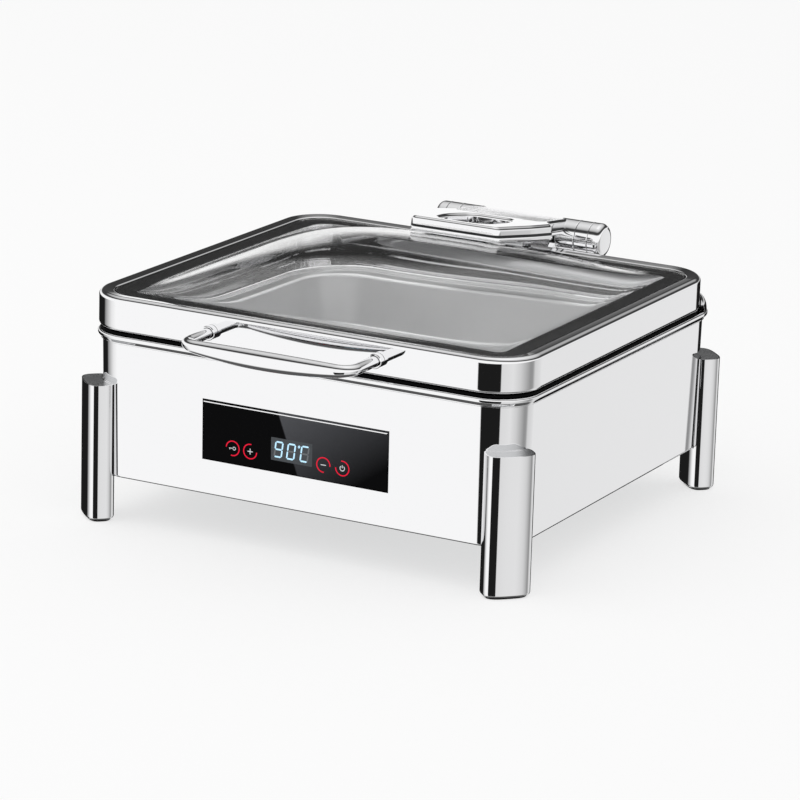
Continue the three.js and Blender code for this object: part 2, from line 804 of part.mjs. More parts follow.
// Lid frame: the outer face of the sheet, from the turned-in lip to the glass seat
function lidFrame() {
  const bandInner = lidTop - lidBandFall;
  const path = [
    at(lidBase, -lidBottomLip, lidBottom),
    ...lidEdgeShares.map(([inward, up]) => (
      at(lidBase, -lidBottomRound * inward, lidBottom + lidBottomRound * up))),
    at(lidBase, 0, lidTop - lidShoulder),
    ...lidShoulderShares.map(([inward, down]) => (
      at(lidBase, -lidTopRound * inward, lidTop - lidTopRound * down))),
    at(lidBase, -lidBandWidth, bandInner),
    at(lidBase, -lidBandWidth, seatTop),
    at(lidBase, -lidSeatInner, seatTop),
  ];
  const shell = toSolid(sheetBand(path, sheetWall));
  const screwHoles = join(sideSigns.map((sign) => handleScrewBar(sign, handleScrewRadius + boreGap)));
  return shell.subtract(screwHoles);
}

function glassSeal() {
  const outer = at(lidBase, -lidBandWidth - fitGap, 0);
  const inner = at(lidBase, -lidBandWidth - glassBorder, 0);
  const low = seatTop + fitGap;
  return ringSkin([
    { ...outer, height: low }, { ...outer, height: low + sealThickness },
    { ...inner, height: low + sealThickness }, { ...inner, height: low },
  ], true);
}

function lidGasket() {
  const top = lidBottom - fitGap;
  return ringSkin([
    at(lidBase, -gasketInset, gasketBottom),
    at(lidBase, -gasketInset, top),
    at(lidBase, -gasketInset - gasketWidth, top),
    at(lidBase, -gasketInset - gasketWidth, gasketBottom),
  ], true);
}

// Hinge arm: a flat ring over the dome, tilted down to the barrels on two necks
function armTopAt(y) {
  return armTopFront - (y - armFront) * Math.tan(armTilt);
}

function mirrored(right) {
  return [...right, ...right.map(([x, y]) => [-x, y]).reverse()];
}

function armOutline(inset) {
  const front = armFrontHalf - inset;
  const waist = armWaistHalf - inset;
  const neck = armNeckHalf - inset;
  const frontY = armFront + inset;
  const cornerY = frontY + armFrontRound;
  return mirrored([
    ...armCornerShares.map(([inward, back]) => [
      front - armFrontRound * inward, frontY + armFrontRound * back,
    ]),
    ...armSideShares.map(([outward, back]) => [
      front + (waist - front) * outward, cornerY + (armWaist - cornerY) * back,
    ]),
    ...armNeckShares.map(([outward, back]) => [
      neck + (waist - neck) * outward, armWaist + (armRear - armWaist) * back,
    ]),
    [neck, hingeAxisY],
    [lugInner + inset, hingeAxisY],
    [lugInner + inset, armRear - inset],
  ]);
}

function armWindow(grow) {
  const depth = windowRear - windowFront + grow + grow;
  return mirrored(windowShares.map(([outward, back]) => [
    (windowHalf + grow) * outward, windowFront - grow + depth * back,
  ]));
}

function armPlate() {
  const outer = [[0, armBevel], [armBevel, 0], [armThickness, 0]];
  const inner = [[-overrun, armBevel], ...outer.slice(0, 2), [armThickness + overrun, 0]];
  const layers = outer.map(([depth, inset]) => (
    armOutline(inset).map(([x, y]) => [x, y, armTopAt(y) - depth])));
  const holes = inner.map(([depth, inset]) => (
    armWindow(inset).map(([x, y]) => [x, y, armTopAt(y) - depth])));
  return toSolid(skin(layers, false)).subtract(toSolid(skin(holes, false)));
}

// Foot under the arm's rear bar: it reaches back and stands on the lid's rear band
function armFoot() {
  const front = armRear - armFootReach;
  const rear = lidRear - armFootSetback;
  const low = lidTop + fitGap;
  const high = armTopAt(front) - armThickness / 2;
  return prism([
    [front, low], [rear, low], [rear, low + armFootLip], [armRear, high], [front, high],
  ], -armFootHalf, armFootHalf).rotate([90, 0, 90]);
}

function armBoss(half, depth, low, high) {
  return block([-half, armScrewY - depth / 2, low], [half, armScrewY + depth / 2, high]);
}

function hingeArm() {
  const top = armTopAt(armScrewY) - armThickness / 2;
  const padTop = fitGap + armPadThickness + fitGap;
  const boss = armBoss(armBossHalf, armBossDepth, lidTop, top);
  const lugs = sideSigns.map((sign) => onSide(sign, lugInner, lugOuter, barrelRadius, 0));
  const bores = sideSigns.map((sign) => (
    onSide(sign, lugInner - overrun, lugOuter + overrun, shaftBore + bushWall + fitGap, 0)));
  const screwTop = top + armScrewBite;
  const screwHoles = sideSigns.map((sign) => bar(
    'z', armScrewRadius + boreGap, lidTop, screwTop + fitGap,
    [sign * armScrewX, armScrewY, 0], shankSides,
  ));
  const upper = join([armPlate(), boss]).subtract(underDome(glassTop + padTop));
  return join([upper, armFoot(), ...lugs]).subtract(join([...bores, ...screwHoles]));
}

function armPad() {
  const top = underDome(glassTop + fitGap + armPadThickness);
  const under = underDome(glassTop + fitGap);
  const plate = armBoss(armBossHalf, armBossDepth, lidTop, domeTop);
  const holes = join(sideSigns.map((sign) => bar(
    'z', armScrewRadius + boreGap, lidBottom, domeTop,
    [sign * armScrewX, armScrewY, 0], shankSides,
  )));
  return plate.intersect(top).subtract(under).subtract(holes);
}

function clampPlate() {
  const top = underDome(glassBottom - fitGap);
  const under = underDome(glassBottom - fitGap - clampThickness);
  const plate = armBoss(clampHalf, clampDepth, lidBottom, domeTop);
  const holes = join(sideSigns.map((sign) => bar(
    'z', armScrewRadius + boreGap, lidBottom, domeTop,
    [sign * armScrewX, armScrewY, 0], shankSides,
  )));
  return plate.intersect(top).subtract(under).subtract(holes);
}

function armScrew(sign) {
  const x = sign * armScrewX;
  const rear = armScrewY + armScrewRadius + headGrowth;
  const clampUnder = glassBottom - fitGap - clampThickness - armScrewSeatGap;
  const seat = clampUnder + domeAt(Math.abs(x) + armScrewRadius + headGrowth, rear);
  const end = armTopAt(armScrewY) - armThickness / 2 + armScrewBite;
  return screw(armScrewRadius, x, armScrewY, seat - headHeight, seat, end);
}

// Handle: arms, rounded corners and a lens-shaped grip in one sweep
function handleSweep() {
  const endY = lidFront - fitGap;
  const cornerY = handleGripY + handleCornerRadius;
  const right = [];
  for (let step = 0; step <= gripSteps; step += 1) {
    right.push([(handleArmX - handleCornerRadius) * (step / gripSteps), handleGripY]);
  }
  for (let step = 1; step <= bendSteps; step += 1) {
    const angle = (step / bendSteps) * (Math.PI / 2);
    right.push([
      handleArmX - handleCornerRadius + handleCornerRadius * Math.sin(angle),
      cornerY - handleCornerRadius * Math.cos(angle),
    ]);
  }
  right.push([handleArmX, (cornerY + endY) / 2]);
  right.push([handleArmX, endY]);
  const left = right.slice(1).map(([x, y]) => [-x, y]).reverse();
  return [...left, ...right];
}

function gripShare(x) {
  const share = Math.min(Math.abs(x) / handleArmX, 1);
  return 1 - share ** 2;
}

function handleBody() {
  const path = handleSweep();
  const outlines = path.map(([x, y], index) => {
    const before = path[Math.max(index - 1, 0)];
    const after = path[Math.min(index + 1, path.length - 1)];
    const along = new THREE.Vector2(after[0] - before[0], after[1] - before[1]).normalize();
    const bulge = gripShare(x);
    const halfWide = (armSectionWidth + (gripMidDepth - armSectionWidth) * bulge) / 2;
    const halfTall = (armSectionHeight + (gripMidHeight - armSectionHeight) * bulge) / 2;
    const centreZ = handleHeight - gripSag * bulge;
    const outline = [];
    for (let side = 0; side < handleSides; side += 1) {
      const angle = (side / handleSides) * Math.PI * 2;
      const wide = halfWide * Math.cos(angle);
      outline.push([x - along.y * wide, y + along.x * wide, centreZ + halfTall * Math.sin(angle)]);
    }
    return outline;
  });
  const holes = join(sideSigns.map((sign) => handleScrewBar(sign, handleScrewRadius + boreGap)));
  return toSolid(skin(outlines, false)).subtract(holes);
}

function handleScrewBar(sign, radius) {
  const x = sign * handleArmX;
  return bar(
    'y', radius, lidFront - handleScrewDepth - fitGap, lidFront + lidBottomLip,
    [x, 0, handleHeight], shankSides,
  );
}

function handleScrew(sign) {
  const x = sign * handleArmX;
  const seat = lidFront + sheetWall + fitGap;
  return join([
    bar('y', handleScrewRadius + headGrowth, seat, seat + headHeight, [x, 0, handleHeight], headSides),
    bar(
      'y', handleScrewRadius, lidFront - handleScrewDepth, seat + fitGap, [x, 0, handleHeight], shankSides,
    ),
  ]);
}

function handleCollar(sign) {
  const x = sign * handleArmX;
  const tube = (grow, from, to) => {
    const outlines = [from, to].map((y) => {
      const outline = [];
      for (let side = 0; side < roundSides; side += 1) {
        const angle = (side / roundSides) * Math.PI * 2;
        outline.push([
          x + (armSectionWidth / 2 + grow) * Math.cos(angle), y,
          handleHeight + (armSectionHeight / 2 + grow) * Math.sin(angle),
        ]);
      }
      return outline;
    });
    return toSolid(skin(outlines, false));
  };
  const root = lidFront - fitGap;
  return tube(fitGap + collarGrowth, root - collarLength, root)
    .subtract(tube(collarGap, root - collarLength - overrun, root + overrun));
}

// Legs: lens-shaped columns that wrap the casing's corners
function legOutline(shrink) {
  const outline = [];
  for (let side = 0; side < legSides; side += 1) {
    const angle = (side / legSides) * Math.PI * 2;
    const long = (legHalfLong - shrink) * Math.cos(angle);
    const short = (legHalfShort - shrink) * Math.sin(angle);
    const turn = Math.SQRT1_2;
    outline.push([long * turn + short * turn, -long * turn + short * turn]);
  }
  return outline;
}

function legPrism(layers) {
  const outlines = layers.map(([shrink, height]) => legOutline(shrink).map(([x, y]) => (
    [legCentreX + x, legCentreY + y, height])));
  return toSolid(skin(outlines, false));
}

function casingSpace(gap) {
  return toSolid(ringSkin([
    at(casingBase, gap - casingDraft - overrun * draftSlope, casingBottom - gap),
    at(casingBase, gap, casingTop),
  ], false));
}

function legRearRight() {
  const outer = legPrism([
    ...legFootShares.map(([inward, up]) => [legFootRound * inward, footPadProud + legFootRound * up]),
    [0, legTop],
  ]).subtract(casingSpace(fitGap));
  const hollow = legPrism([[legWall, 0], [legWall, legTop - legWall]])
    .subtract(casingSpace(fitGap + legWall));
  return outer.subtract(hollow).subtract(legBoltBar(1, 1, legBoltRadius + boreGap));
}

function footPadRearRight() {
  const collar = legPrism([[legFootRound, 0], [legFootRound, footPadProud - fitGap]]);
  const plugInset = legWall + fitGap;
  const plug = legPrism([[plugInset, footPadProud - fitGap - fitGap], [plugInset, footPadDepth]]);
  return collar.add(plug);
}

// Diagonal bolts from inside the casing into each leg
function legBoltBar(
  signX, signY, radius, from = -casingLip, to = legHalfShort / 2, sides = shankSides,
) {
  const geometry = new THREE.CylinderGeometry(radius, radius, to - from, sides);
  geometry.translate(0, (from + to) / 2, 0);
  geometry.rotateZ(-Math.PI / 2);
  geometry.rotateZ(Math.atan2(signY, signX));
  const inset = casingCornerRadius * (1 - Math.SQRT1_2) + casingInset(legBoltHeight) * Math.SQRT1_2;
  geometry.translate(
    signX * (casingHalfWidth - inset), signY * (casingHalfDepth - inset), legBoltHeight,
  );
  return toSolid(geometry);
}

function legBolt(signX, signY) {
  const headRadius = legBoltRadius + headGrowth;
  const cornerRise = headRadius ** 2 / (2 * (casingCornerRadius - casingWall));
  const seat = -casingWall - cornerRise - fitGap;
  const head = legBoltBar(signX, signY, headRadius, seat - headHeight, seat, headSides);
  const shank = legBoltBar(signX, signY, legBoltRadius, seat - fitGap, legWall + headHeight);
  return head.add(shank);
}

// Control panel, in its own frame: X across, Y into the casing from its outer face, Z up
function panelPieces() {
  const group = new THREE.Group();
  const halfHeight = panelHeight / 2;
  const glassBack = panelGlassThickness - panelProud;
  const glassLayers = [
    [panelChamfer, -panelProud], [0, panelChamfer - panelProud], [0, glassBack],
  ];
  const glass = skin(glassLayers.map(([inset, y]) => [
    [-panelHalfWidth + inset, y, -halfHeight + inset], [panelHalfWidth - inset, y, -halfHeight + inset],
    [panelHalfWidth - inset, y, halfHeight - inset], [-panelHalfWidth + inset, y, halfHeight - inset],
  ]), false);
  group.add(piece('panel_glass', glass, blackGlass));

  const flangeFront = Math.max(casingWall, glassBack) + fitGap;
  const housingBack = flangeFront + housingDepth;
  const boxHalf = panelHalfWidth - housingWall;
  const boxHeight = halfHeight - housingWall;
  const flange = block(
    [-panelHalfWidth - housingFlange, flangeFront, -halfHeight - housingFlange],
    [panelHalfWidth + housingFlange, flangeFront + housingWall, halfHeight + housingFlange],
  );
  const box = block([-panelHalfWidth, flangeFront, -halfHeight], [panelHalfWidth, housingBack, halfHeight]);
  const space = block(
    [-boxHalf, flangeFront - overrun, -boxHeight], [boxHalf, housingBack - housingWall, boxHeight],
  );
  const touchFront = flangeFront;
  const touchBack = touchFront + boardThickness;
  const displayBack = touchFront + displayDepth;
  const boardFront = displayBack + fitGap;
  const boardBack = boardFront + boardThickness;
  const posts = join(cornerSigns.map(([signX, signZ]) => {
    const x = signX * (boxHalf - boardPostSize / 2 + fitGap);
    const z = signZ * (boxHeight - boardPostSize / 2 + fitGap);
    return block(
      [x - boardPostSize / 2, boardBack + fitGap, z - boardPostSize / 2],
      [x + boardPostSize / 2, housingBack - fitGap, z + boardPostSize / 2],
    );
  }));
  const slots = block(
    [-ventLength / 2, flangeFront + housingDepth / 2, -halfHeight - overrun],
    [ventLength / 2, housingBack - housingDepth / 4, -boxHeight + overrun],
  );
  const housing = box.add(flange).subtract(space).add(posts).subtract(slots);
  group.add(piece('panel_housing', housing, blackPlastic));

  const displayZ = -displayDrop;
  const touchBoard = block(
    [-boxHalf + fitGap, touchFront, -boxHeight + fitGap], [boxHalf - fitGap, touchBack, boxHeight - fitGap],
  ).subtract(block(
    [-displayWidth / 2 - fitGap, touchFront - overrun, displayZ - displayHeight / 2 - fitGap],
    [displayWidth / 2 + fitGap, touchBack + overrun, displayZ + displayHeight / 2 + fitGap],
  ));
  group.add(piece('touch_board', touchBoard, greenBoard));

  const display = block(
    [-displayWidth / 2, touchFront, displayZ - displayHeight / 2],
    [displayWidth / 2, displayBack, displayZ + displayHeight / 2],
  );
  group.add(piece('display_module', display, greyDisplay));

  const controlBoard = block(
    [-boxHalf + fitGap, boardFront, -boxHeight + fitGap], [boxHalf - fitGap, boardBack, boxHeight - fitGap],
  );
  group.add(piece('control_board', controlBoard, greenBoard));

  const tilt = Math.atan(draftSlope);
  group.position.set(0, -casingHalfDepth + casingInset(panelCentreZ), panelCentreZ);
  group.rotation.x = tilt;
  return group;
}

// Heater under the water pan
function cutoutHole() {
  return bar(
    'z', cutoutRadius + fitGap, basePlateTop + fitGap, heaterBottom, [0, panCentreY, 0],
  );
}

function insulationPad() {
  return ringBlock(heaterBase, insulationMargin, insulationBottom, insulationTop).subtract(cutoutHole());
}

function heaterTray() {
  const path = [
    at(heaterBase, insulationMargin - trayLip, insulationBottom - fitGap - sheetWall),
    at(heaterBase, insulationMargin + fitGap + sheetWall, insulationBottom - fitGap - sheetWall),
    at(heaterBase, insulationMargin + fitGap + sheetWall, heaterBottom),
  ];
  const tray = toSolid(sheetPan(path, sheetWall));
  const feet = cornerSigns.map(([signX, signY]) => bar(
    'z', trayFootRadius, basePlateTop + fitGap, insulationBottom - fitGap - sheetWall / 2,
    [signX * trayFootX, panCentreY + signY * trayFootY, 0], headSides,
  ));
  return join([tray, ...feet]).subtract(cutoutHole());
}

function thermalCutout() {
  const top = heaterBottom - fitGap;
  return join([
    bar('z', cutoutRadius, insulationBottom - cutoutDrop, top, [0, panCentreY, 0]),
    bar('z', cutoutStemRadius, basePlateTop + fitGap + cutoutDrop, top, [0, panCentreY, 0]),
  ]);
}

function temperatureSensor() {
  return bar('z', sensorRadius, heaterTop - sensorHeight, heaterTop, [sensorX, panCentreY, 0]);
}

// Power inlet: a flanged socket with three blades, through the rear wall
function powerInlet() {
  const face = casingHalfDepth - casingInset(inletZ);
  const flangeFront = face + fitGap;
  const flange = block(
    [-inletHalfWidth - inletFlange, flangeFront, -inletHalfHeight - inletFlange],
    [inletHalfWidth + inletFlange, flangeFront + inletFlangeThickness, inletHalfHeight + inletFlange],
  );
  const body = block(
    [-inletHalfWidth, face - inletDepth, -inletHalfHeight],
    [inletHalfWidth, flangeFront + fitGap, inletHalfHeight],
  );
  const cavityBack = face - inletDepth + inletCavityWall;
  const cavity = block(
    [-inletHalfWidth + inletCavityWall, cavityBack, -inletHalfHeight + inletCavityWall],
    [
      inletHalfWidth - inletCavityWall, face + inletFlangeThickness + overrun,
      inletHalfHeight - inletCavityWall,
    ],
  );
  const blades = [-1, 0, 1].map((place) => {
    const lift = (place === 0 ? inletPinHeight : -inletPinHeight) / 2;
    return block(
      [place * inletPinPitch - inletPinWidth / 2, cavityBack - fitGap, lift - inletPinHeight / 2],
      [place * inletPinPitch + inletPinWidth / 2, cavityBack + inletPinLength, lift + inletPinHeight / 2],
    );
  });
  return join([flange, body]).subtract(cavity).add(join(blades)).translate([inletX, 0, inletZ]);
}

// Assembly
const body = new THREE.Group();
body.add(piece('casing', casingShell(), polishedSteel));
body.add(piece('base_plate', basePlate(), darkSteel));
body.add(piece('water_pan', waterPan(), polishedSteel));
body.add(piece('hinge_ledge', hingeLedge(), polishedSteel));
body.add(piece('food_pan', foodPan(), satinSteel));
body.add(panelPieces());

const leg = legRearRight();
const footPad = footPadRearRight();
cornerSigns.forEach(([signX, signY], index) => {
  const name = cornerNames[index];
  const toCorner = (solid) => solid.scale([signX, signY, 1]);
  body.add(piece(`leg_${name}`, toCorner(leg), polishedSteel));
  body.add(piece(`foot_pad_${name}`, toCorner(footPad), blackPlastic));
  body.add(piece(`leg_bolt_${name}`, legBolt(signX, signY), darkSteel));
  body.add(piece(`base_screw_${name}`, baseScrew(signX, signY), darkSteel));
});

body.add(piece('heating_plate', ringBlock(heaterBase, 0, heaterBottom, heaterTop), castAluminium));
body.add(piece('insulation_pad', insulationPad(), whiteInsulation));
body.add(piece('heater_tray', heaterTray(), darkSteel));
body.add(piece('thermal_cutout', thermalCutout(), brass));
body.add(piece('temperature_sensor', temperatureSensor(), brass));
body.add(piece('power_inlet', powerInlet(), blackPlastic));

body.add(piece('hinge_bracket', hingeBracket(), polishedSteel));
body.add(piece('hinge_shaft', hingeShaft(), darkSteel));

const lid = new THREE.Group();
lid.add(piece('lid_frame', lidFrame(), polishedSteel));
lid.add(piece('lid_glass', lidGlass(), clearGlass));
lid.add(piece('glass_seal', glassSeal(), blackSilicone));
lid.add(piece('lid_gasket', lidGasket(), blackSilicone));
lid.add(piece('hinge_arm', hingeArm(), polishedSteel));
lid.add(piece('arm_pad', armPad(), blackSilicone));
lid.add(piece('clamp_plate', clampPlate(), polishedSteel));
lid.add(piece('handle', handleBody(), polishedSteel));

sideSigns.forEach((sign, index) => {
  const name = sideNames[index];
  body.add(piece(`damper_${name}`, damper(sign), polishedSteel));
  body.add(piece(`hinge_cap_${name}`, hingeCap(sign), polishedSteel));
  body.add(piece(`bracket_bolt_${name}`, bracketBolt(sign), darkSteel));
  lid.add(piece(`hinge_bush_${name}`, hingeBush(sign), blackPlastic));
  lid.add(piece(`arm_screw_${name}`, armScrew(sign), darkSteel));
  lid.add(piece(`handle_collar_${name}`, handleCollar(sign), polishedSteel));
  lid.add(piece(`handle_screw_${name}`, handleScrew(sign), darkSteel));
});

const chafingDish = new THREE.Group();
chafingDish.add(body);
chafingDish.add(lid);
body.position.y = centreShift;
lid.position.y = centreShift;

export default chafingDish;
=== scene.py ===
"""Looks of an electric chafing dish with a hinged glass lid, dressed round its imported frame.

Every size is in metres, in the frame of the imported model: +Z up, the front towards -Y.
"""
from __future__ import annotations

import json
import logging
import math
from collections.abc import Callable, Iterable, Sequence
from dataclasses import dataclass, field
from enum import Enum

import bmesh
import bpy
from mathutils import Matrix, Vector

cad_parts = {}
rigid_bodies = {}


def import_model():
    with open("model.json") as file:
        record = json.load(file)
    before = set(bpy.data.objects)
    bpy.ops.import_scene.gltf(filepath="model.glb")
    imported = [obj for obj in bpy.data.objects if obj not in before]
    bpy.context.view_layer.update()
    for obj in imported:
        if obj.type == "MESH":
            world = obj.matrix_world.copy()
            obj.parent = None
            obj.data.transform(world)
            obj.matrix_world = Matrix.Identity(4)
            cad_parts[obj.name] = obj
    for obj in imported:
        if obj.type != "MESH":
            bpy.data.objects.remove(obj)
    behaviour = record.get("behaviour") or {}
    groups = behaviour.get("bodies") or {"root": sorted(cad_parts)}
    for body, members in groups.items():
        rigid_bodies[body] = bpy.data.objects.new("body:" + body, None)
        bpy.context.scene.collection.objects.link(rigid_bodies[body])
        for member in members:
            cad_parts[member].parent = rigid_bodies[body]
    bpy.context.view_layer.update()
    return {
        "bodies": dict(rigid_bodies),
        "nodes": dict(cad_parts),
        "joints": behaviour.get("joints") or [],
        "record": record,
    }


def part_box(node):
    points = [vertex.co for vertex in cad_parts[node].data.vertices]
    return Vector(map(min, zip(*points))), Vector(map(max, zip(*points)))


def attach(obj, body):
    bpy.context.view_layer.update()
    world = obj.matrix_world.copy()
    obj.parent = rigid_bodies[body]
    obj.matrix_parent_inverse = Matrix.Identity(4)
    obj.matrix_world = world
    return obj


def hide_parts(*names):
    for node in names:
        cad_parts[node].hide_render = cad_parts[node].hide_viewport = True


log = logging.getLogger("chafing_dish")

Path = list[tuple[float, float]]
Outline = list[tuple[float, float, float]]

WELD = 0.00001
ARC_STEP = math.radians(11)
CORNER_STEPS = 18
MILLIMETRE = 0.001


# Colour and node helpers


def linear(hex_colour: str) -> tuple[float, float, float, float]:
    """Turns an sRGB hex colour into linear values.

    Args:
        hex_colour: Six hex digits after a hash.

    Returns:
        Linear red, green, blue and an alpha of 1.
    """
    shares = [int(hex_colour[start:start + 2], 16) / 255 for start in (1, 3, 5)]
    values = [s / 12.92 if s <= 0.04045 else ((s + 0.055) / 1.055) ** 2.4 for s in shares]
    return (*values, 1.0)


def add_node(tree: bpy.types.NodeTree, kind: str, settings: dict | None = None,
             **links: object) -> bpy.types.Node:
    """Adds a node with its settings and its inputs.

    Args:
        tree: The node tree that gets the node.
        kind: The node's type name.
        settings: Attributes of the node by name.
        **links: An output socket to link, or a value to set, for each input. An underscore stands for a
            space in the input's name, and n0, n1 and so on stand for an input's number.

    Returns:
        The new node.
    """
    node = tree.nodes.new(kind)
    for name, value in (settings or {}).items():
        setattr(node, name, value)
    for name, value in links.items():
        numbered = name[0] == "n" and name[1:].isdigit()
        socket = node.inputs[int(name[1:])] if numbered else node.inputs[name.replace("_", " ")]
        if isinstance(value, bpy.types.NodeSocket):
            tree.links.new(value, socket)
        else:
            socket.default_value = value
    return node


# Modelling helpers


def deselect_everything() -> None:
    """Leaves edit mode and deselects every object."""
    active = bpy.context.view_layer.objects.active
    if active is not None and active.mode != "OBJECT":
        bpy.ops.object.mode_set(mode="OBJECT")
    bpy.ops.object.select_all(action="DESELECT")


def take(piece: bpy.types.Object) -> bpy.types.Object:
    """Makes a piece the only selected one, and the active one."""
    deselect_everything()
    piece.select_set(True)
    bpy.context.view_layer.objects.active = piece
    return piece


def edit(piece: bpy.types.Object, select: str = "SELECT") -> None:
    """Opens a piece in edit mode with all or nothing of it selected."""
    take(piece)
    bpy.ops.object.mode_set(mode="EDIT")
    bpy.ops.mesh.select_mode(type="VERT")
    bpy.ops.mesh.select_all(action=select)


def select_where(piece: bpy.types.Object, test: Callable[[Vector], bool]) -> int:
    """Selects the vertices of a piece in edit mode by their place.

    Args:
        piece: The piece, in edit mode.
        test: Says whether a place is selected.

    Returns:
        How many vertices are selected.
    """
    mesh = bmesh.from_edit_mesh(piece.data)
    for vertex in mesh.verts:
        vertex.select_set(test(vertex.co))
    mesh.select_flush(True)
    mesh.select_flush(False)
    bmesh.update_edit_mesh(piece.data)
    return sum(vertex.select for vertex in mesh.verts)


def close_up(piece: bpy.types.Object, fill: bool = False) -> None:
    """Merges doubles, fills holes if asked and turns the faces outwards, then leaves edit mode.

    Args:
        piece: The piece.
        fill: Whether open loops get a face.
    """
    edit(piece)
    bpy.ops.mesh.remove_doubles(threshold=WELD)
    if fill:
        bpy.ops.mesh.fill_holes(sides=0)
        bpy.ops.mesh.select_all(action="SELECT")
    bpy.ops.mesh.normals_make_consistent(inside=False)
    bpy.ops.object.mode_set(mode="OBJECT")


def draw_chain(name: str, points: Sequence[Sequence[float]], closed: bool) -> bpy.types.Object:
    """Draws a chain of edges point by point, and leaves it in edit mode with all of it selected.

    Args:
        name: The new piece's name.
        points: The places of its points.
        closed: Whether an edge joins the last point to the first.

    Returns:
        The new piece.
    """
    deselect_everything()
    bpy.ops.mesh.primitive_plane_add(size=MILLIMETRE, location=points[0])
    piece = bpy.context.object
    piece.name = name
    bpy.ops.object.transform_apply(location=True)
    bpy.ops.object.mode_set(mode="EDIT")
    bpy.ops.mesh.select_mode(type="VERT")
    bpy.ops.mesh.select_all(action="SELECT")
    bpy.ops.mesh.merge(type="CENTER")
    for start, end in zip(points, points[1:]):
        step = Vector(end) - Vector(start)
        bpy.ops.mesh.extrude_vertices_move(TRANSFORM_OT_translate={"value": step})
    if closed:
        ends = [Vector(points[0]), Vector(points[-1])]
        select_where(piece, lambda place: min((place - end).length for end in ends) < WELD / 2)
        bpy.ops.mesh.edge_face_add()
    bpy.ops.mesh.select_all(action="SELECT")
    return piece


def extrude_edges(step: Sequence[float]) -> None:
    """Extrudes the selected edges by a step."""
    bpy.ops.mesh.extrude_edges_move(TRANSFORM_OT_translate={"value": Vector(step)})


def loft(name: str, outlines: Sequence[Outline], capped: bool = True) -> bpy.types.Object:
    """Carries a closed outline through a list of outlines with as many points each.

    Args:
        name: The new piece's name.
        outlines: The outlines, in order.
        capped: Whether the first and last outlines are filled.

    Returns:
        The new piece, closed and turned outwards.
    """
    piece = draw_chain(name, outlines[0], True)
    mesh = bmesh.from_edit_mesh(piece.data)
    order = mesh.verts.layers.int.new("order")
    for vertex in mesh.verts:
        near = min(range(len(outlines[0])), key=lambda i: (Vector(outlines[0][i]) - vertex.co).length)
        vertex[order] = near
    bmesh.update_edit_mesh(piece.data)
    for outline in outlines[1:]:
        extrude_edges((0, 0, MILLIMETRE))
        mesh = bmesh.from_edit_mesh(piece.data)
        order = mesh.verts.layers.int["order"]
        for vertex in mesh.verts:
            if vertex.select:
                vertex.co = Vector(outline[vertex[order]])
        bmesh.update_edit_mesh(piece.data)
    close_up(piece, fill=capped)
    piece.data.attributes.remove(piece.data.attributes["order"])
    return piece


def apply_modifier(piece: bpy.types.Object, kind: str, **settings: object) -> bpy.types.Object:
    """Adds a modifier to a piece with its settings, and applies it."""
    take(piece)
    modifier = piece.modifiers.new(kind.lower(), kind)
    for name, value in settings.items():
        setattr(modifier, name, value)
    bpy.ops.object.modifier_apply(modifier=modifier.name)
    return piece


def combine(piece: bpy.types.Object, other: bpy.types.Object, how: str) -> bpy.types.Object:
    """Cuts, joins or crosses a piece with another one, which is used up.

    Args:
        piece: The piece that stays.
        other: The piece that is used up.
        how: The boolean operation.

    Returns:
        The piece.
    """
    apply_modifier(piece, "BOOLEAN", operation=how, object=other, solver="EXACT")
    bpy.data.objects.remove(other)
    return piece


def soften(piece: bpy.types.Object, width: float, segments: int = 3, angle: float = 35.0) -> bpy.types.Object:
    """Rounds a piece's sharp edges.

    Args:
        piece: The piece.
        width: The rounding's width.
        segments: The faces across each rounding.
        angle: Edges sharper than this many degrees are rounded.

    Returns:
        The piece.
    """
    return apply_modifier(
        piece, "BEVEL", width=width, segments=segments, limit_method="ANGLE",
        angle_limit=math.radians(angle), use_clamp_overlap=True, harden_normals=False)


def polish(piece: bpy.types.Object, angle: float = 32.0) -> bpy.types.Object:
    """Shades a piece smooth below an angle, with its flat faces kept flat."""
    take(piece)
    bpy.ops.object.shade_smooth_by_angle(angle=math.radians(angle))
    return apply_modifier(piece, "WEIGHTED_NORMAL", keep_sharp=True, weight=90)


# Outlines and profiles


@dataclass(frozen=True)
class RoundSquare:
    """A rounded square seen from above."""

    half_x: float
    half_y: float
    radius: float
    centre_y: float

    def outline(self, offset: float, height: float, steps: int = CORNER_STEPS) -> Outline:
        """The points of the square, moved out by an offset, at a height."""
        points = []
        inset = (self.half_x - self.radius, self.half_y - self.radius)
        for turn, (sign_x, sign_y) in enumerate([(1, -1), (1, 1), (-1, 1), (-1, -1)]):
            for step in range(steps + 1):
                angle = math.pi / 2 * (turn - 1 + step / steps)
                points.append((
                    sign_x * inset[0] + (self.radius + offset) * math.cos(angle),
                    self.centre_y + sign_y * inset[1] + (self.radius + offset) * math.sin(angle),
                    height))
        return points


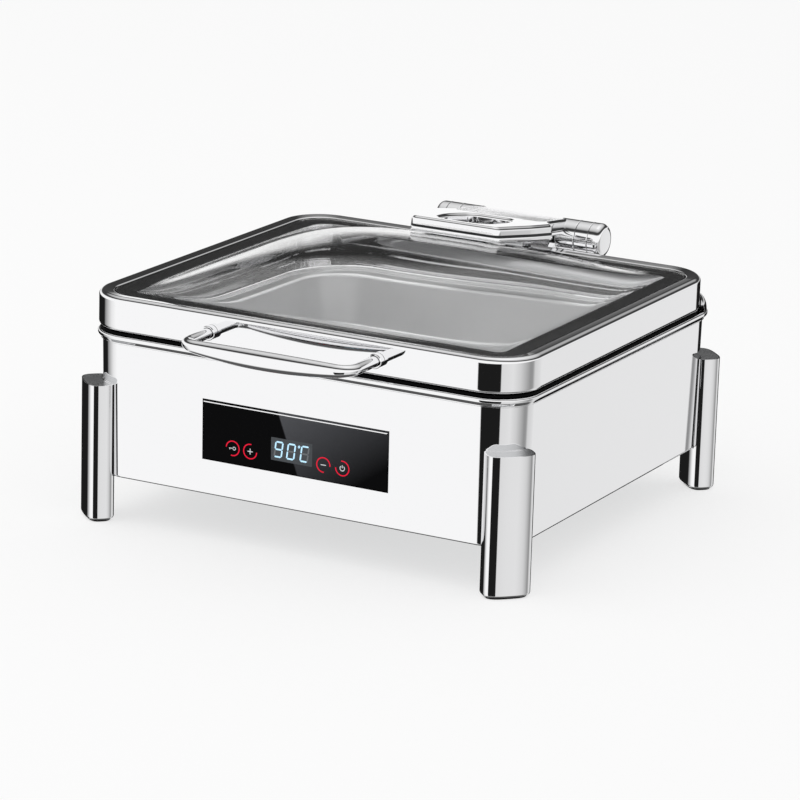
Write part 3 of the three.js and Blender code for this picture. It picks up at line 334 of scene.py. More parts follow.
def filleted(corners: Sequence[tuple[float, float, float]], closed: bool = False) -> Path:
    """Rounds the corners of a path.

    Args:
        corners: Each corner's two coordinates and the radius of its bend.
        closed: Whether the last corner leads back to the first.

    Returns:
        The path's points, with an arc in place of each corner that has a radius.
    """
    path: Path = []
    count = len(corners)
    for index, (u, v, radius) in enumerate(corners):
        here = Vector((u, v))
        inner = closed or 0 < index < count - 1
        if radius <= 0 or not inner:
            path.append((u, v))
            continue
        before = Vector(corners[index - 1][:2]) - here
        after = Vector(corners[(index + 1) % count][:2]) - here
        half = before.angle(after) / 2
        reach = min(radius / math.tan(half), 0.49 * before.length, 0.49 * after.length)
        bend = reach * math.tan(half)
        middle = here + (before.normalized() + after.normalized()).normalized() * (bend / math.sin(half))
        start = here + before.normalized() * reach - middle
        end = here + after.normalized() * reach - middle
        first = math.atan2(start.y, start.x)
        turn = (math.atan2(end.y, end.x) - first + math.pi) % (2 * math.pi) - math.pi
        steps = max(2, round(abs(turn) / ARC_STEP))
        for step in range(steps + 1):
            angle = first + turn * step / steps
            path.append((middle.x + bend * math.cos(angle), middle.y + bend * math.sin(angle)))
    return path


def offset_path(path: Path, distance: float, closed: bool) -> Path:
    """Moves a path to its left by a distance, with mitred corners."""
    moved: Path = []
    count = len(path)
    for index, point in enumerate(path):
        here = Vector(point)
        before = Vector(path[index - 1]) if closed or index > 0 else None
        after = Vector(path[(index + 1) % count]) if closed or index < count - 1 else None
        ways = [(here - before).normalized()] if before is not None else []
        ways += [(after - here).normalized()] if after is not None else []
        normals = [Vector((-way.y, way.x)) for way in ways]
        mitre = sum(normals, Vector((0, 0))).normalized()
        moved.append(tuple(here + mitre * (distance / max(mitre.dot(normals[0]), 0.3))))
    return moved


def walled(path: Path, wall: float) -> Path:
    """Gives a path a wall on its left, and returns the whole closed section."""
    return path + offset_path(path, wall, False)[::-1]


def sweep(name: str, base: RoundSquare, profile: Path, closed: bool = True,
          steps: int = CORNER_STEPS) -> bpy.types.Object:
    """Draws a section at the front middle of a rounded square and carries it once round.

    Args:
        name: The new piece's name.
        base: The rounded square.
        profile: The section's points, each as its distance outside the square and its height.
        closed: Whether the section closes on itself. If not, its two ends are filled.
        steps: The steps in each corner.

    Returns:
        The new piece.
    """
    front = base.centre_y - base.half_y
    piece = draw_chain(name, [(0, front - out, height) for out, height in profile], closed)
    run_x = base.half_x - base.radius
    run_y = base.half_y - base.radius
    turns = [
        ((run_x, 0, 0), (run_x, base.centre_y - run_y, 0)),
        ((0, 2 * run_y, 0), (run_x, base.centre_y + run_y, 0)),
        ((-2 * run_x, 0, 0), (-run_x, base.centre_y + run_y, 0)),
        ((0, -2 * run_y, 0), (-run_x, base.centre_y - run_y, 0)),
    ]
    for run, centre in turns:
        extrude_edges(run)
        bpy.ops.mesh.spin(steps=steps, angle=-math.pi / 2, center=centre, axis=(0, 0, 1))
    extrude_edges((run_x, 0, 0))
    close_up(piece, fill=not closed)
    return piece


class Axis(Enum):
    """The way a turned piece points."""

    X = "x"
    Y = "y"
    Z = "z"

    def turned(self) -> Matrix:
        """The turn from +Z to this axis."""
        turns = {
            Axis.X: Matrix.Rotation(math.pi / 2, 4, "Y"),
            Axis.Y: Matrix.Rotation(-math.pi / 2, 4, "X"),
            Axis.Z: Matrix.Identity(4),
        }
        return turns[self]


def turned_piece(name: str, profile: Path, axis: Axis, centre: Sequence[float], sides: int = 64,
                 closed: bool = False) -> bpy.types.Object:
    """Turns a section round an axis, as on a lathe.

    Args:
        name: The new piece's name.
        profile: The section's points, each as its radius and its place along the axis.
        axis: The way the axis points.
        centre: A point on the axis, where the place along it is zero.
        sides: The steps of a full turn.
        closed: Whether the section closes on itself, as a bored piece's does.

    Returns:
        The new piece.
    """
    piece = draw_chain(name, [(max(radius, 0), 0, along) for radius, along in profile], closed)
    bpy.ops.mesh.spin(steps=sides, angle=-2 * math.pi, center=(0, 0, 0), axis=(0, 0, 1))
    close_up(piece)
    piece.data.transform(Matrix.Translation(Vector(centre)) @ axis.turned())
    close_up(piece)
    return piece


def drum_profile(radius: float, low: float, high: float, edge: float) -> Path:
    """The section of a plain drum with rounded edges, from the axis out and back."""
    corners = [(0, low, 0), (radius, low, edge), (radius, high, edge), (0, high, 0)]
    return filleted(corners)


def prism(name: str, outline: Path, low: float, high: float) -> bpy.types.Object:
    """Raises a flat outline from one height to another."""
    return loft(name, [[(u, v, height) for u, v in outline] for height in (low, high)])


def box_piece(name: str, low: Sequence[float], high: Sequence[float]) -> bpy.types.Object:
    """Adds a block between two corners, for cutting or for further shaping."""
    deselect_everything()
    middle = [(a + b) / 2 for a, b in zip(low, high)]
    bpy.ops.mesh.primitive_cube_add(size=1.0, location=middle)
    piece = bpy.context.object
    piece.name = name
    piece.scale = [b - a for a, b in zip(low, high)]
    bpy.ops.object.transform_apply(location=True, scale=True)
    return piece


def join_pieces(name: str, pieces: Sequence[bpy.types.Object]) -> bpy.types.Object:
    """Puts several separate solids into one piece."""
    deselect_everything()
    for piece in pieces:
        piece.select_set(True)
    bpy.context.view_layer.objects.active = pieces[0]
    bpy.ops.object.join()
    pieces[0].name = name
    return pieces[0]


# Finishes


@dataclass(frozen=True)
class Finish:
    """A surface finish: one material, made once and then shared."""

    name: str
    colour: str

    def make(self) -> bpy.types.Material:
        """Makes the material.

        Returns:
            The material, or the one made before under this name.
        """
        found = bpy.data.materials.get(self.name)
        if found is not None:
            return found
        material = bpy.data.materials.new(self.name)
        material.use_nodes = True
        tree = material.node_tree
        tree.nodes.clear()
        places = add_node(tree, "ShaderNodeTexCoord").outputs["Object"]
        inputs = {"Base_Color": linear(self.colour), **self.inputs(tree, places)}
        shader = add_node(tree, "ShaderNodeBsdfPrincipled", **inputs)
        add_node(tree, "ShaderNodeOutputMaterial", Surface=shader.outputs[0])
        return material

    def inputs(self, tree: bpy.types.NodeTree, places: bpy.types.NodeSocket) -> dict[str, object]:
        """The shader's inputs, which each finish works out in its own way.

        Args:
            tree: The material's node tree.
            places: The places on the piece, in metres.

        Returns:
            A value or a socket for each input that the finish sets.
        """
        return {}


@dataclass(frozen=True)
class MirrorSteel(Finish):
    """Stainless steel sheet, ground and buffed to a mirror: crisp reflections with a faint haze."""

    haze: tuple[float, float] = (0.02, 0.06)
    haze_size: float = 0.035
    wave_size: float = 0.11
    wave_depth: float = 0.00004

    def inputs(self, tree: bpy.types.NodeTree, places: bpy.types.NodeSocket) -> dict[str, object]:
        """A buffed haze in the roughness, and the slight waves of rolled sheet."""
        haze = add_node(tree, "ShaderNodeTexNoise", Vector=places, Scale=1 / self.haze_size, Detail=5.0)
        rough = add_node(
            tree, "ShaderNodeMapRange", Value=haze.outputs[0], To_Min=self.haze[0], To_Max=self.haze[1])
        wave = add_node(tree, "ShaderNodeTexNoise", Vector=places, Scale=1 / self.wave_size, Detail=1.0)
        relief = add_node(
            tree, "ShaderNodeBump", Strength=1.0, Distance=self.wave_depth, Height=wave.outputs[0])
        return {"Metallic": 1.0, "Roughness": rough.outputs[0], "Normal": relief.outputs[0]}


@dataclass(frozen=True)
class SatinSteel(Finish):
    """Drawn stainless steel with a satin grind: soft reflections drawn out across the grind lines."""

    dull: str = "#EAEBEC"
    rough: tuple[float, float] = (0.38, 0.48)
    metal_share: float = 1.0
    grind_size: float = 0.0007
    grind_length: float = 0.028
    grind_depth: float = 0.00001
    cloud_size: float = 0.06

    def inputs(self, tree: bpy.types.NodeTree, places: bpy.types.NodeSocket) -> dict[str, object]:
        """Fine grind lines in the relief, and clouds of duller metal where the press slid."""
        cloud = add_node(tree, "ShaderNodeTexNoise", Vector=places, Scale=1 / self.cloud_size, Detail=4.0)
        tone = add_node(
            tree, "ShaderNodeMix", {"data_type": "RGBA"}, n0=cloud.outputs[0], n6=linear(self.dull),
            n7=linear(self.colour))
        rough = add_node(
            tree, "ShaderNodeMapRange", Value=cloud.outputs[0], To_Min=self.rough[0], To_Max=self.rough[1])
        grind_scale = (1 / self.grind_length, 1 / self.grind_size, 1 / self.grind_size)
        drawn_out = add_node(tree, "ShaderNodeMapping", Vector=places, Scale=grind_scale)
        lines = add_node(tree, "ShaderNodeTexNoise", Vector=drawn_out.outputs[0], Scale=1.0, Detail=2.0)
        relief = add_node(
            tree, "ShaderNodeBump", Strength=0.6, Distance=self.grind_depth, Height=lines.outputs[0])
        return {"Metallic": self.metal_share, "Base_Color": tone.outputs[2], "Roughness": rough.outputs[0],
                "Normal": relief.outputs[0]}


@dataclass(frozen=True)
class MillSteel(Finish):
    """Cold rolled steel sheet and screws as they come from the mill: dull, with a grey cast."""

    dull: str = "#74777A"
    rough: tuple[float, float] = (0.34, 0.52)
    patch_size: float = 0.012
    grain_size: float = 0.0006
    grain_depth: float = 0.00002

    def inputs(self, tree: bpy.types.NodeTree, places: bpy.types.NodeSocket) -> dict[str, object]:
        """Patches of duller skin, and a fine grain."""
        patch = add_node(tree, "ShaderNodeTexNoise", Vector=places, Scale=1 / self.patch_size, Detail=6.0)
        tone = add_node(
            tree, "ShaderNodeMix", {"data_type": "RGBA"}, n0=patch.outputs[0], n6=linear(self.dull),
            n7=linear(self.colour))
        rough = add_node(
            tree, "ShaderNodeMapRange", Value=patch.outputs[0], To_Min=self.rough[0], To_Max=self.rough[1])
        grain = add_node(tree, "ShaderNodeTexNoise", Vector=places, Scale=1 / self.grain_size, Detail=3.0)
        relief = add_node(
            tree, "ShaderNodeBump", Strength=0.5, Distance=self.grain_depth, Height=grain.outputs[0])
        return {"Metallic": 1.0, "Base_Color": tone.outputs[2], "Roughness": rough.outputs[0],
                "Normal": relief.outputs[0]}


@dataclass(frozen=True)
class CastMetal(Finish):
    """Die cast metal: a pebbled skin with a soft shine."""

    dull: str = "#8E9092"
    rough: float = 0.48
    pebble_size: float = 0.0011
    pebble_depth: float = 0.00006

    def inputs(self, tree: bpy.types.NodeTree, places: bpy.types.NodeSocket) -> dict[str, object]:
        """Pebbles in the relief and a slight change of tone over them."""
        pebble = add_node(tree, "ShaderNodeTexNoise", Vector=places, Scale=1 / self.pebble_size, Detail=4.0)
        tone = add_node(
            tree, "ShaderNodeMix", {"data_type": "RGBA"}, n0=pebble.outputs[0], n6=linear(self.dull),
            n7=linear(self.colour))
        relief = add_node(
            tree, "ShaderNodeBump", Strength=0.6, Distance=self.pebble_depth, Height=pebble.outputs[0])
        return {"Metallic": 1.0, "Base_Color": tone.outputs[2], "Roughness": self.rough,
                "Normal": relief.outputs[0]}


@dataclass(frozen=True)
class ClearGlass(Finish):
    """Tempered soda-lime glass, bent over a mould: clear, with a very slight sag wave."""

    index: float = 1.47
    wave_size: float = 0.09
    wave_depth: float = 0.00003

    def inputs(self, tree: bpy.types.NodeTree, places: bpy.types.NodeSocket) -> dict[str, object]:
        """A clear body with the glass's own index."""
        wave = add_node(tree, "ShaderNodeTexNoise", Vector=places, Scale=1 / self.wave_size, Detail=1.0)
        relief = add_node(
            tree, "ShaderNodeBump", Strength=1.0, Distance=self.wave_depth, Height=wave.outputs[0])
        return {"Roughness": 0.0, "IOR": self.index, "Transmission_Weight": 1.0,
                "Normal": relief.outputs[0]}


@dataclass(frozen=True)
class PanelGlass(Finish):
    """Float glass printed black on its back: deep black on the left, and a painted reflection to the right, a grey
    that fades out.
    """

    # The grey of the painted reflection.
    painted_reflection_grey: str = "#56575B"
    edge_x: float = -0.0062
    lean: float = 0.375
    fade: float = 0.105
    centre_z: float = 0.09975
    soft: float = 0.0007

    def inputs(self, tree: bpy.types.NodeTree, places: bpy.types.NodeSocket) -> dict[str, object]:
        """A slanted line parts the black print from a painted reflection, a grey that fades to the right."""
        parts = add_node(tree, "ShaderNodeSeparateXYZ", n0=places)
        height = add_node(
            tree, "ShaderNodeMath", {"operation": "SUBTRACT"}, n0=parts.outputs[2], n1=self.centre_z)
        slant = add_node(
            tree, "ShaderNodeMath", {"operation": "MULTIPLY_ADD"}, n0=height.outputs[0], n1=self.lean,
            n2=parts.outputs[0])
        start = add_node(
            tree, "ShaderNodeMapRange", Value=slant.outputs[0], From_Min=self.edge_x - self.soft,
            From_Max=self.edge_x + self.soft)
        down = add_node(
            tree, "ShaderNodeMath", {"operation": "MULTIPLY_ADD"}, n0=height.outputs[0], n1=-1.4,
            n2=parts.outputs[0])
        end = add_node(
            tree, "ShaderNodeMapRange", Value=down.outputs[0], From_Min=self.edge_x - self.fade / 2,
            From_Max=self.edge_x + self.fade, To_Min=1.0, To_Max=0.0)
        # Mask of the painted reflection: one right of the slanted line, fading out further right.
        share = add_node(
            tree, "ShaderNodeMath", {"operation": "MULTIPLY"}, n0=start.outputs[0], n1=end.outputs[0])
        tone = add_node(
            tree, "ShaderNodeMix", {"data_type": "RGBA"}, n0=share.outputs[0], n6=linear(self.colour),
            n7=linear(self.painted_reflection_grey))
        return {"Base_Color": tone.outputs[2], "IOR": 1.5, "Roughness": 0.03, "Specular_IOR_Level": 0.03}


@dataclass(frozen=True)
class Moulded(Finish):
    """Moulded rubber or plastic: an even colour under a fine spark grain."""

    pale: str = "#2A2B2D"
    rough: tuple[float, float] = (0.45, 0.6)
    grain_size: float = 0.0009
    grain_depth: float = 0.00004
    specular: float = 0.5

    def inputs(self, tree: bpy.types.NodeTree, places: bpy.types.NodeSocket) -> dict[str, object]:
        """Grain in the relief, and a little dust in its hollows."""
        grain = add_node(tree, "ShaderNodeTexNoise", Vector=places, Scale=1 / self.grain_size, Detail=4.0)
        tone = add_node(
            tree, "ShaderNodeMix", {"data_type": "RGBA"}, n0=grain.outputs[0], n6=linear(self.colour),
            n7=linear(self.pale))
        rough = add_node(
            tree, "ShaderNodeMapRange", Value=grain.outputs[0], To_Min=self.rough[0], To_Max=self.rough[1])
        relief = add_node(
            tree, "ShaderNodeBump", Strength=0.5, Distance=self.grain_depth, Height=grain.outputs[0])
        return {"Base_Color": tone.outputs[2], "Roughness": rough.outputs[0],
                "Specular_IOR_Level": self.specular, "Normal": relief.outputs[0]}


@dataclass(frozen=True)
class CircuitBoard(Finish):
    """Glass fibre board under green solder mask: traces show as paler lines below the mask."""

    trace: str = "#3C8A56"
    trace_pitch: float = 0.0058
    trace_depth: float = 0.00003

    def inputs(self, tree: bpy.types.NodeTree, places: bpy.types.NodeSocket) -> dict[str, object]:
        """Cells of straight traces under a glossy mask."""
        cells = add_node(tree, "ShaderNodeTexBrick", Vector=places, Scale=1 / self.trace_pitch)
        tone = add_node(
            tree, "ShaderNodeMix", {"data_type": "RGBA"}, n0=cells.outputs["Fac"],
            n6=linear(self.colour), n7=linear(self.trace))
        relief = add_node(
            tree, "ShaderNodeBump", Strength=0.4, Distance=self.trace_depth, Height=cells.outputs["Fac"])
        return {"Base_Color": tone.outputs[2], "Roughness": 0.3, "Normal": relief.outputs[0]}


@dataclass(frozen=True)
class FibreBoard(Finish):
    """Pressed ceramic fibre: chalk white, with loose fibres drawn out over it."""

    shade: str = "#C4C0B4"
    fibre_size: float = 0.0008
    fibre_length: float = 0.0072
    fibre_depth: float = 0.0002

    def inputs(self, tree: bpy.types.NodeTree, places: bpy.types.NodeSocket) -> dict[str, object]:
        """Fibres in the relief and in the tone."""
        fibre_scale = (1 / self.fibre_length, 1 / self.fibre_size, 1 / self.fibre_size)
        drawn_out = add_node(tree, "ShaderNodeMapping", Vector=places, Scale=fibre_scale)
        fibre = add_node(tree, "ShaderNodeTexNoise", Vector=drawn_out.outputs[0], Scale=1.0, Detail=5.0)
        tone = add_node(
            tree, "ShaderNodeMix", {"data_type": "RGBA"}, n0=fibre.outputs[0], n6=linear(self.shade),
            n7=linear(self.colour))
        relief = add_node(
            tree, "ShaderNodeBump", Strength=0.7, Distance=self.fibre_depth, Height=fibre.outputs[0])
        return {"Base_Color": tone.outputs[2], "Roughness": 0.95, "Normal": relief.outputs[0]}


@dataclass(frozen=True)
class LampOrPaintedGlow(Finish):
    """Ink or a lamp behind glass: an even colour that glows a little by itself. The glow is a lamp's only on the
    digit lamp; on the inks, the smoked window and the unlit bars it is a painted glow.
    """

    glow: float = 0.5
    wander_size: float = 0.004

    def inputs(self, tree: bpy.types.NodeTree, places: bpy.types.NodeSocket) -> dict[str, object]:
        """The ink's grain is finer than the eye sees, so only its gloss wanders."""
        wander = add_node(tree, "ShaderNodeTexNoise", Vector=places, Scale=1 / self.wander_size, Detail=2.0)
        rough = add_node(
            tree, "ShaderNodeMapRange", Value=wander.outputs[0], To_Min=0.3, To_Max=0.4)
        return {"Roughness": rough.outputs[0], "Emission_Color": linear(self.colour),
                "Emission_Strength": self.glow, "Specular_IOR_Level": 0.12}


MIRROR_STEEL = MirrorSteel("mirror_stainless_steel", "#F6F6F7")
SATIN_STEEL = SatinSteel("satin_stainless_steel", "#F9F9F9")
LINISHED_STEEL = SatinSteel(
    "linished_stainless_steel", "#D4D5D6", dull="#B8BABC", rough=(0.2, 0.3), metal_share=0.95)
MILL_STEEL = MillSteel("mill_finish_steel", "#A9ACAE")
CAST_ALUMINIUM = CastMetal("die_cast_aluminium", "#C2C4C5")
TURNED_BRASS = CastMetal("turned_brass", "#C8A860", dull="#A5864A", rough=0.32)
CLEAR_GLASS = ClearGlass("tempered_clear_glass", "#FFFFFF")
# Panel glass: black print, with a painted reflection in its base colour.
PANEL_GLASS = PanelGlass("back_printed_glass_painted_reflection", "#050506")
BLACK_SILICONE = Moulded("black_silicone_rubber", "#070708", pale="#0F0F10", specular=0.02)
BLACK_PLASTIC = Moulded("moulded_black_plastic", "#161718")
CIRCUIT_BOARD = CircuitBoard("solder_mask_board", "#14492A")
# Painted glow: the smoked window is no lamp.
SMOKED_WINDOW = LampOrPaintedGlow("smoked_display_window", "#44474A", glow=0.2)
CERAMIC_FIBRE = FibreBoard("ceramic_fibre_board", "#E8E5DC")
# Painted glow: the red and grey inks are no lamps.
RED_INK = LampOrPaintedGlow("red_key_ink", "#C8102E", glow=0.55)
GREY_INK = LampOrPaintedGlow("grey_symbol_ink", "#B9BBBD", glow=0.4)
DIGIT_LAMP = LampOrPaintedGlow("pale_blue_digit_lamp", "#B4DCF2", glow=0.45)
# Painted glow: the unlit bars are no lamps.
UNLIT_DIGIT = LampOrPaintedGlow("unlit_digit_bar", "#6A6D70", glow=0.15)


def place(piece: bpy.types.Object, finish: Finish, body: str, slot: str,
          nodes: Sequence[str] = ()) -> bpy.types.Object:
    """Finishes a piece, gives it its body and hides the nodes that it stands for.

    Args:
        piece: The piece.
        finish: Its finish.
        body: The body that it rides on.
        slot: The record's material slot. Not used.
        nodes: The nodes that it replaces.

    Returns:
        The piece.
    """
    piece.data.materials.clear()
    piece.data.materials.append(finish.make())
    for face in piece.data.polygons:
        face.material_index = 0
    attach(piece, body)
    if nodes:
        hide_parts(*nodes)
    log.info("%s: %d faces, rides on %s", piece.name, len(piece.data.polygons), body)
    return piece

# Places taken from the frame


def plan_of(node: str, radius: float) -> RoundSquare:
    """The rounded square that a node fills, seen from above."""
    low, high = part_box(node)
    return RoundSquare((high.x - low.x) / 2, (high.y - low.y) / 2, radius, (high.y + low.y) / 2)


def middle_of(node: str) -> Vector:
    """The middle of a node's box."""
    low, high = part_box(node)
    return (low + high) / 2


def dress_node(frame: dict, node: str, finish: Finish) -> None:
    """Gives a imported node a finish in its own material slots."""
    slots = frame["nodes"][node].material_slots
    for slot in slots:
        slot.material = finish.make()
    log.info("%s keeps its packed shape", node)


@dataclass(frozen=True)
class Datum:
    """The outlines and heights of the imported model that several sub-assemblies share."""

    casing: RoundSquare
    lid: RoundSquare
    pan: RoundSquare
    casing_bottom: float
    casing_top: float
    rim_top: float
    lid_bottom: float
    lid_top: float
    hinge: Vector
    gap: float = 0.3 * MILLIMETRE
    draft: float = 1.85 * MILLIMETRE
    sheet: float = 1.2 * MILLIMETRE

    @classmethod
    def read(cls) -> "Datum":
        """Reads the outlines and heights from the frame."""
        casing_low, casing_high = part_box("casing")
        lid_low, lid_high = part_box("lid_frame")
        return cls(
            casing=plan_of("casing", 35 * MILLIMETRE),
            lid=plan_of("lid_frame", 41.5 * MILLIMETRE),
            pan=plan_of("food_pan", 60 * MILLIMETRE),
            casing_bottom=casing_low.z,
            casing_top=casing_high.z,
            rim_top=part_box("water_pan")[1].z,
            lid_bottom=lid_low.z,
            lid_top=lid_high.z,
            hinge=middle_of("hinge_shaft"),
        )

    def inset_at(self, height: float) -> float:
        """How far the drafted casing lies inside its top outline at a height."""
        return self.draft * (self.casing_top - height) / (self.casing_top - self.casing_bottom)

    def casing_block(self, grow: float) -> bpy.types.Object:
        """A block with the casing's drafted outside, grown by a gap, for cutting what wraps it."""
        heights = (self.casing_bottom - grow, self.casing_top)
        outlines = [
            self.casing.outline(grow - self.inset_at(heights[0]), heights[0]),
            self.casing.outline(grow, heights[1]),
        ]
        return loft("casing_block", outlines)


# Casing and pans


@dataclass
class Casing:
    """The drawn steel casing, with its windows for the panel and the power inlet."""

    datum: Datum
    wall: float = 1.5 * MILLIMETRE
    lip: float = 12 * MILLIMETRE
    foot_bend: float = 2.6 * MILLIMETRE
    bolt_radius: float = 3.3 * MILLIMETRE
    flange: float = 4 * MILLIMETRE
    overrun: float = 6 * MILLIMETRE

    def make(self) -> None:
        """Draws the shell, cuts its windows and places it."""
        datum = self.datum
        face = filleted([
            (-self.lip, datum.casing_bottom, 0),
            (-datum.draft, datum.casing_bottom, self.foot_bend),
            (0, datum.casing_top, 0),
        ])
        shell = sweep("casing_shell", datum.casing, walled(face, self.wall))
        combine(shell, self.window("panel_glass", 0.0, -1), "DIFFERENCE")
        combine(shell, self.window("power_inlet", self.flange, 1), "DIFFERENCE")
        for corner in ("front_left", "front_right", "rear_left", "rear_right"):
            combine(shell, self.bolt_hole(corner), "DIFFERENCE")
        place(polish(shell, 40), MIRROR_STEEL, "root", "polished_steel", ["casing"])

    def window(self, node: str, flange: float, side: int) -> bpy.types.Object:
        """A block that cuts a node's window through the front or rear wall.

        Args:
            node: The node that sits in the window.
            flange: How far the node's flange laps the wall.
            side: -1 for the front wall, 1 for the rear wall.

        Returns:
            The block.
        """
        low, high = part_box(node)
        grow = self.datum.gap - flange
        wall_y = self.datum.casing.centre_y + side * self.datum.casing.half_y
        near, far = sorted([wall_y + side * self.overrun, wall_y - side * self.overrun])
        return box_piece("window", (low.x - grow, near, low.z - grow), (high.x + grow, far, high.z + grow))

    def bolt_hole(self, corner: str) -> bpy.types.Object:
        """A bar that cuts a leg bolt's hole through a corner."""
        centre = middle_of(f"leg_bolt_{corner}")
        turn = math.atan2(centre.y - self.datum.casing.centre_y, centre.x)
        sign = (math.copysign(1, math.cos(turn)), math.copysign(1, math.sin(turn)))
        deselect_everything()
        bpy.ops.mesh.primitive_cylinder_add(
            vertices=32, radius=self.bolt_radius, depth=4 * self.overrun, location=centre,
            rotation=(math.pi / 2, 0, math.atan2(sign[1], sign[0]) + math.pi / 2))
        bar = bpy.context.object
        bpy.ops.object.transform_apply(location=True, rotation=True)
        return bar


@dataclass
class Pans:
    """The water pan with its rolled rim, the food pan that hangs in it and the raised hinge ledge."""

    datum: Datum
    ledge_height: float = 165.7 * MILLIMETRE
    clearance: float = 2 * MILLIMETRE
    ledge_width: float = 11 * MILLIMETRE
    water_floor: float = 76.2 * MILLIMETRE
    water_draft: float = 8 * MILLIMETRE
    water_round: float = 14 * MILLIMETRE
    bead: float = 4.4 * MILLIMETRE
    bead_drop: float = 3.8 * MILLIMETRE
    waist: float = 1.7 * MILLIMETRE
    hook: float = 1.2 * MILLIMETRE
    rim_land: float = 20 * MILLIMETRE
    floor_reach: float = 45 * MILLIMETRE
    food_wall: float = 1 * MILLIMETRE
    food_rim: float = 13.5 * MILLIMETRE
    food_draft: float = 9 * MILLIMETRE
    food_round: float = 12 * MILLIMETRE
    ledge_rise: float = 16 * MILLIMETRE
    ledge_end_share: float = 0.835
    lid_clearance: float = 1.6 * MILLIMETRE

    def make(self) -> None:
        """Makes the three pieces."""
        self.water_pan()
        self.food_pan()
        self.hinge_ledge()

    def water_pan(self) -> None:
        """The basin hangs from a ledge; its rim runs out over the casing and rolls under in a bead."""
        datum = self.datum
        ledge_inner = self.clearance - self.ledge_width
        basin = filleted([
            (-self.floor_reach, self.water_floor, 0),
            (ledge_inner - self.water_draft, self.water_floor, self.water_round),
            (ledge_inner, self.ledge_height, 2.4 * MILLIMETRE),
            (self.clearance, self.ledge_height, 1.4 * MILLIMETRE),
            (self.clearance, datum.rim_top, 2 * MILLIMETRE),
            (self.clearance + self.bead, datum.rim_top, 0),
        ])
        hook_height = datum.casing_top + datum.gap
        rim = filleted([
            (-self.rim_land, datum.rim_top, 0),
            (self.bead, datum.rim_top, 2.6 * MILLIMETRE),
            (self.bead, datum.rim_top - self.bead_drop, 2.2 * MILLIMETRE),
            (self.waist, hook_height + datum.sheet, 1 * MILLIMETRE),
            (self.waist, hook_height, 0.5 * MILLIMETRE),
            (-self.hook, hook_height, 0),
        ])
        bases = [(datum.pan, basin), (datum.casing, rim)]
        upper = [base.outline(out, height) for base, path in bases for out, height in path]
        lower = [
            base.outline(out, height)
            for base, path in bases for out, height in offset_path(path, -datum.sheet, False)
        ]
        pan = loft("water_basin", upper + lower[::-1])
        place(polish(pan, 40), MIRROR_STEEL, "root", "polished_steel", ["water_pan"])

    def food_pan(self) -> None:
        """A drawn pan with a broad flange; its floor sweeps up in a full round."""
        low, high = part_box("food_pan")
        underside = high.z - self.food_wall
        corners = [
            (-self.floor_reach, low.z, 0),
            (-self.food_rim - self.food_draft, low.z, self.food_round),
            (-self.food_rim, underside, 3 * MILLIMETRE),
            (0, underside, 0),
        ]
        section = walled(filleted(corners), self.food_wall)
        pan = sweep("gastronorm_pan", self.datum.pan, section, closed=False, steps=24)
        soften(pan, 0.3 * MILLIMETRE, 2, 60)
        place(polish(pan, 40), SATIN_STEEL, "food_pan", "satin_steel", ["food_pan"])

    def ledge_block(self, inset: float) -> bpy.types.Object:
        """The ledge's quarter round on the casing's outline, as a block over the whole dish."""
        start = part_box("hinge_ledge")[0].z
        reach = self.bead - self.waist / 2
        rear = self.datum.lid.centre_y + self.datum.lid.half_y
        run = reach + self.datum.casing.centre_y + self.datum.casing.half_y - rear
        outlines = []
        for step in range(13):
            angle = math.pi / 2 * step / 12
            offset = reach - run * self.ledge_end_share * (1 - math.cos(angle)) - inset
            outlines.append(self.datum.casing.outline(offset, start + self.ledge_rise * math.sin(angle)))
        return loft("ledge_block", outlines)

    def hinge_ledge(self) -> None:
        """The quarter round is kept behind the lid only, with the lid's own outline cut out of it."""
        low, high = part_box("hinge_ledge")
        ledge = self.ledge_block(0.0)
        over = 5 * MILLIMETRE
        lid_space = loft("lid_space", [
            self.datum.lid.outline(self.lid_clearance, height) for height in (low.z - over, high.z + over)])
        combine(ledge, lid_space, "DIFFERENCE")
        keep = box_piece(
            "ledge_keep", (low.x - over, low.y, low.z - over), (high.x + over, high.y + over, high.z + over))
        combine(ledge, keep, "INTERSECT")
        soften(ledge, 0.7 * MILLIMETRE, 3, 50)
        place(polish(ledge, 40), MIRROR_STEEL, "root", "polished_steel", ["hinge_ledge"])


# Legs


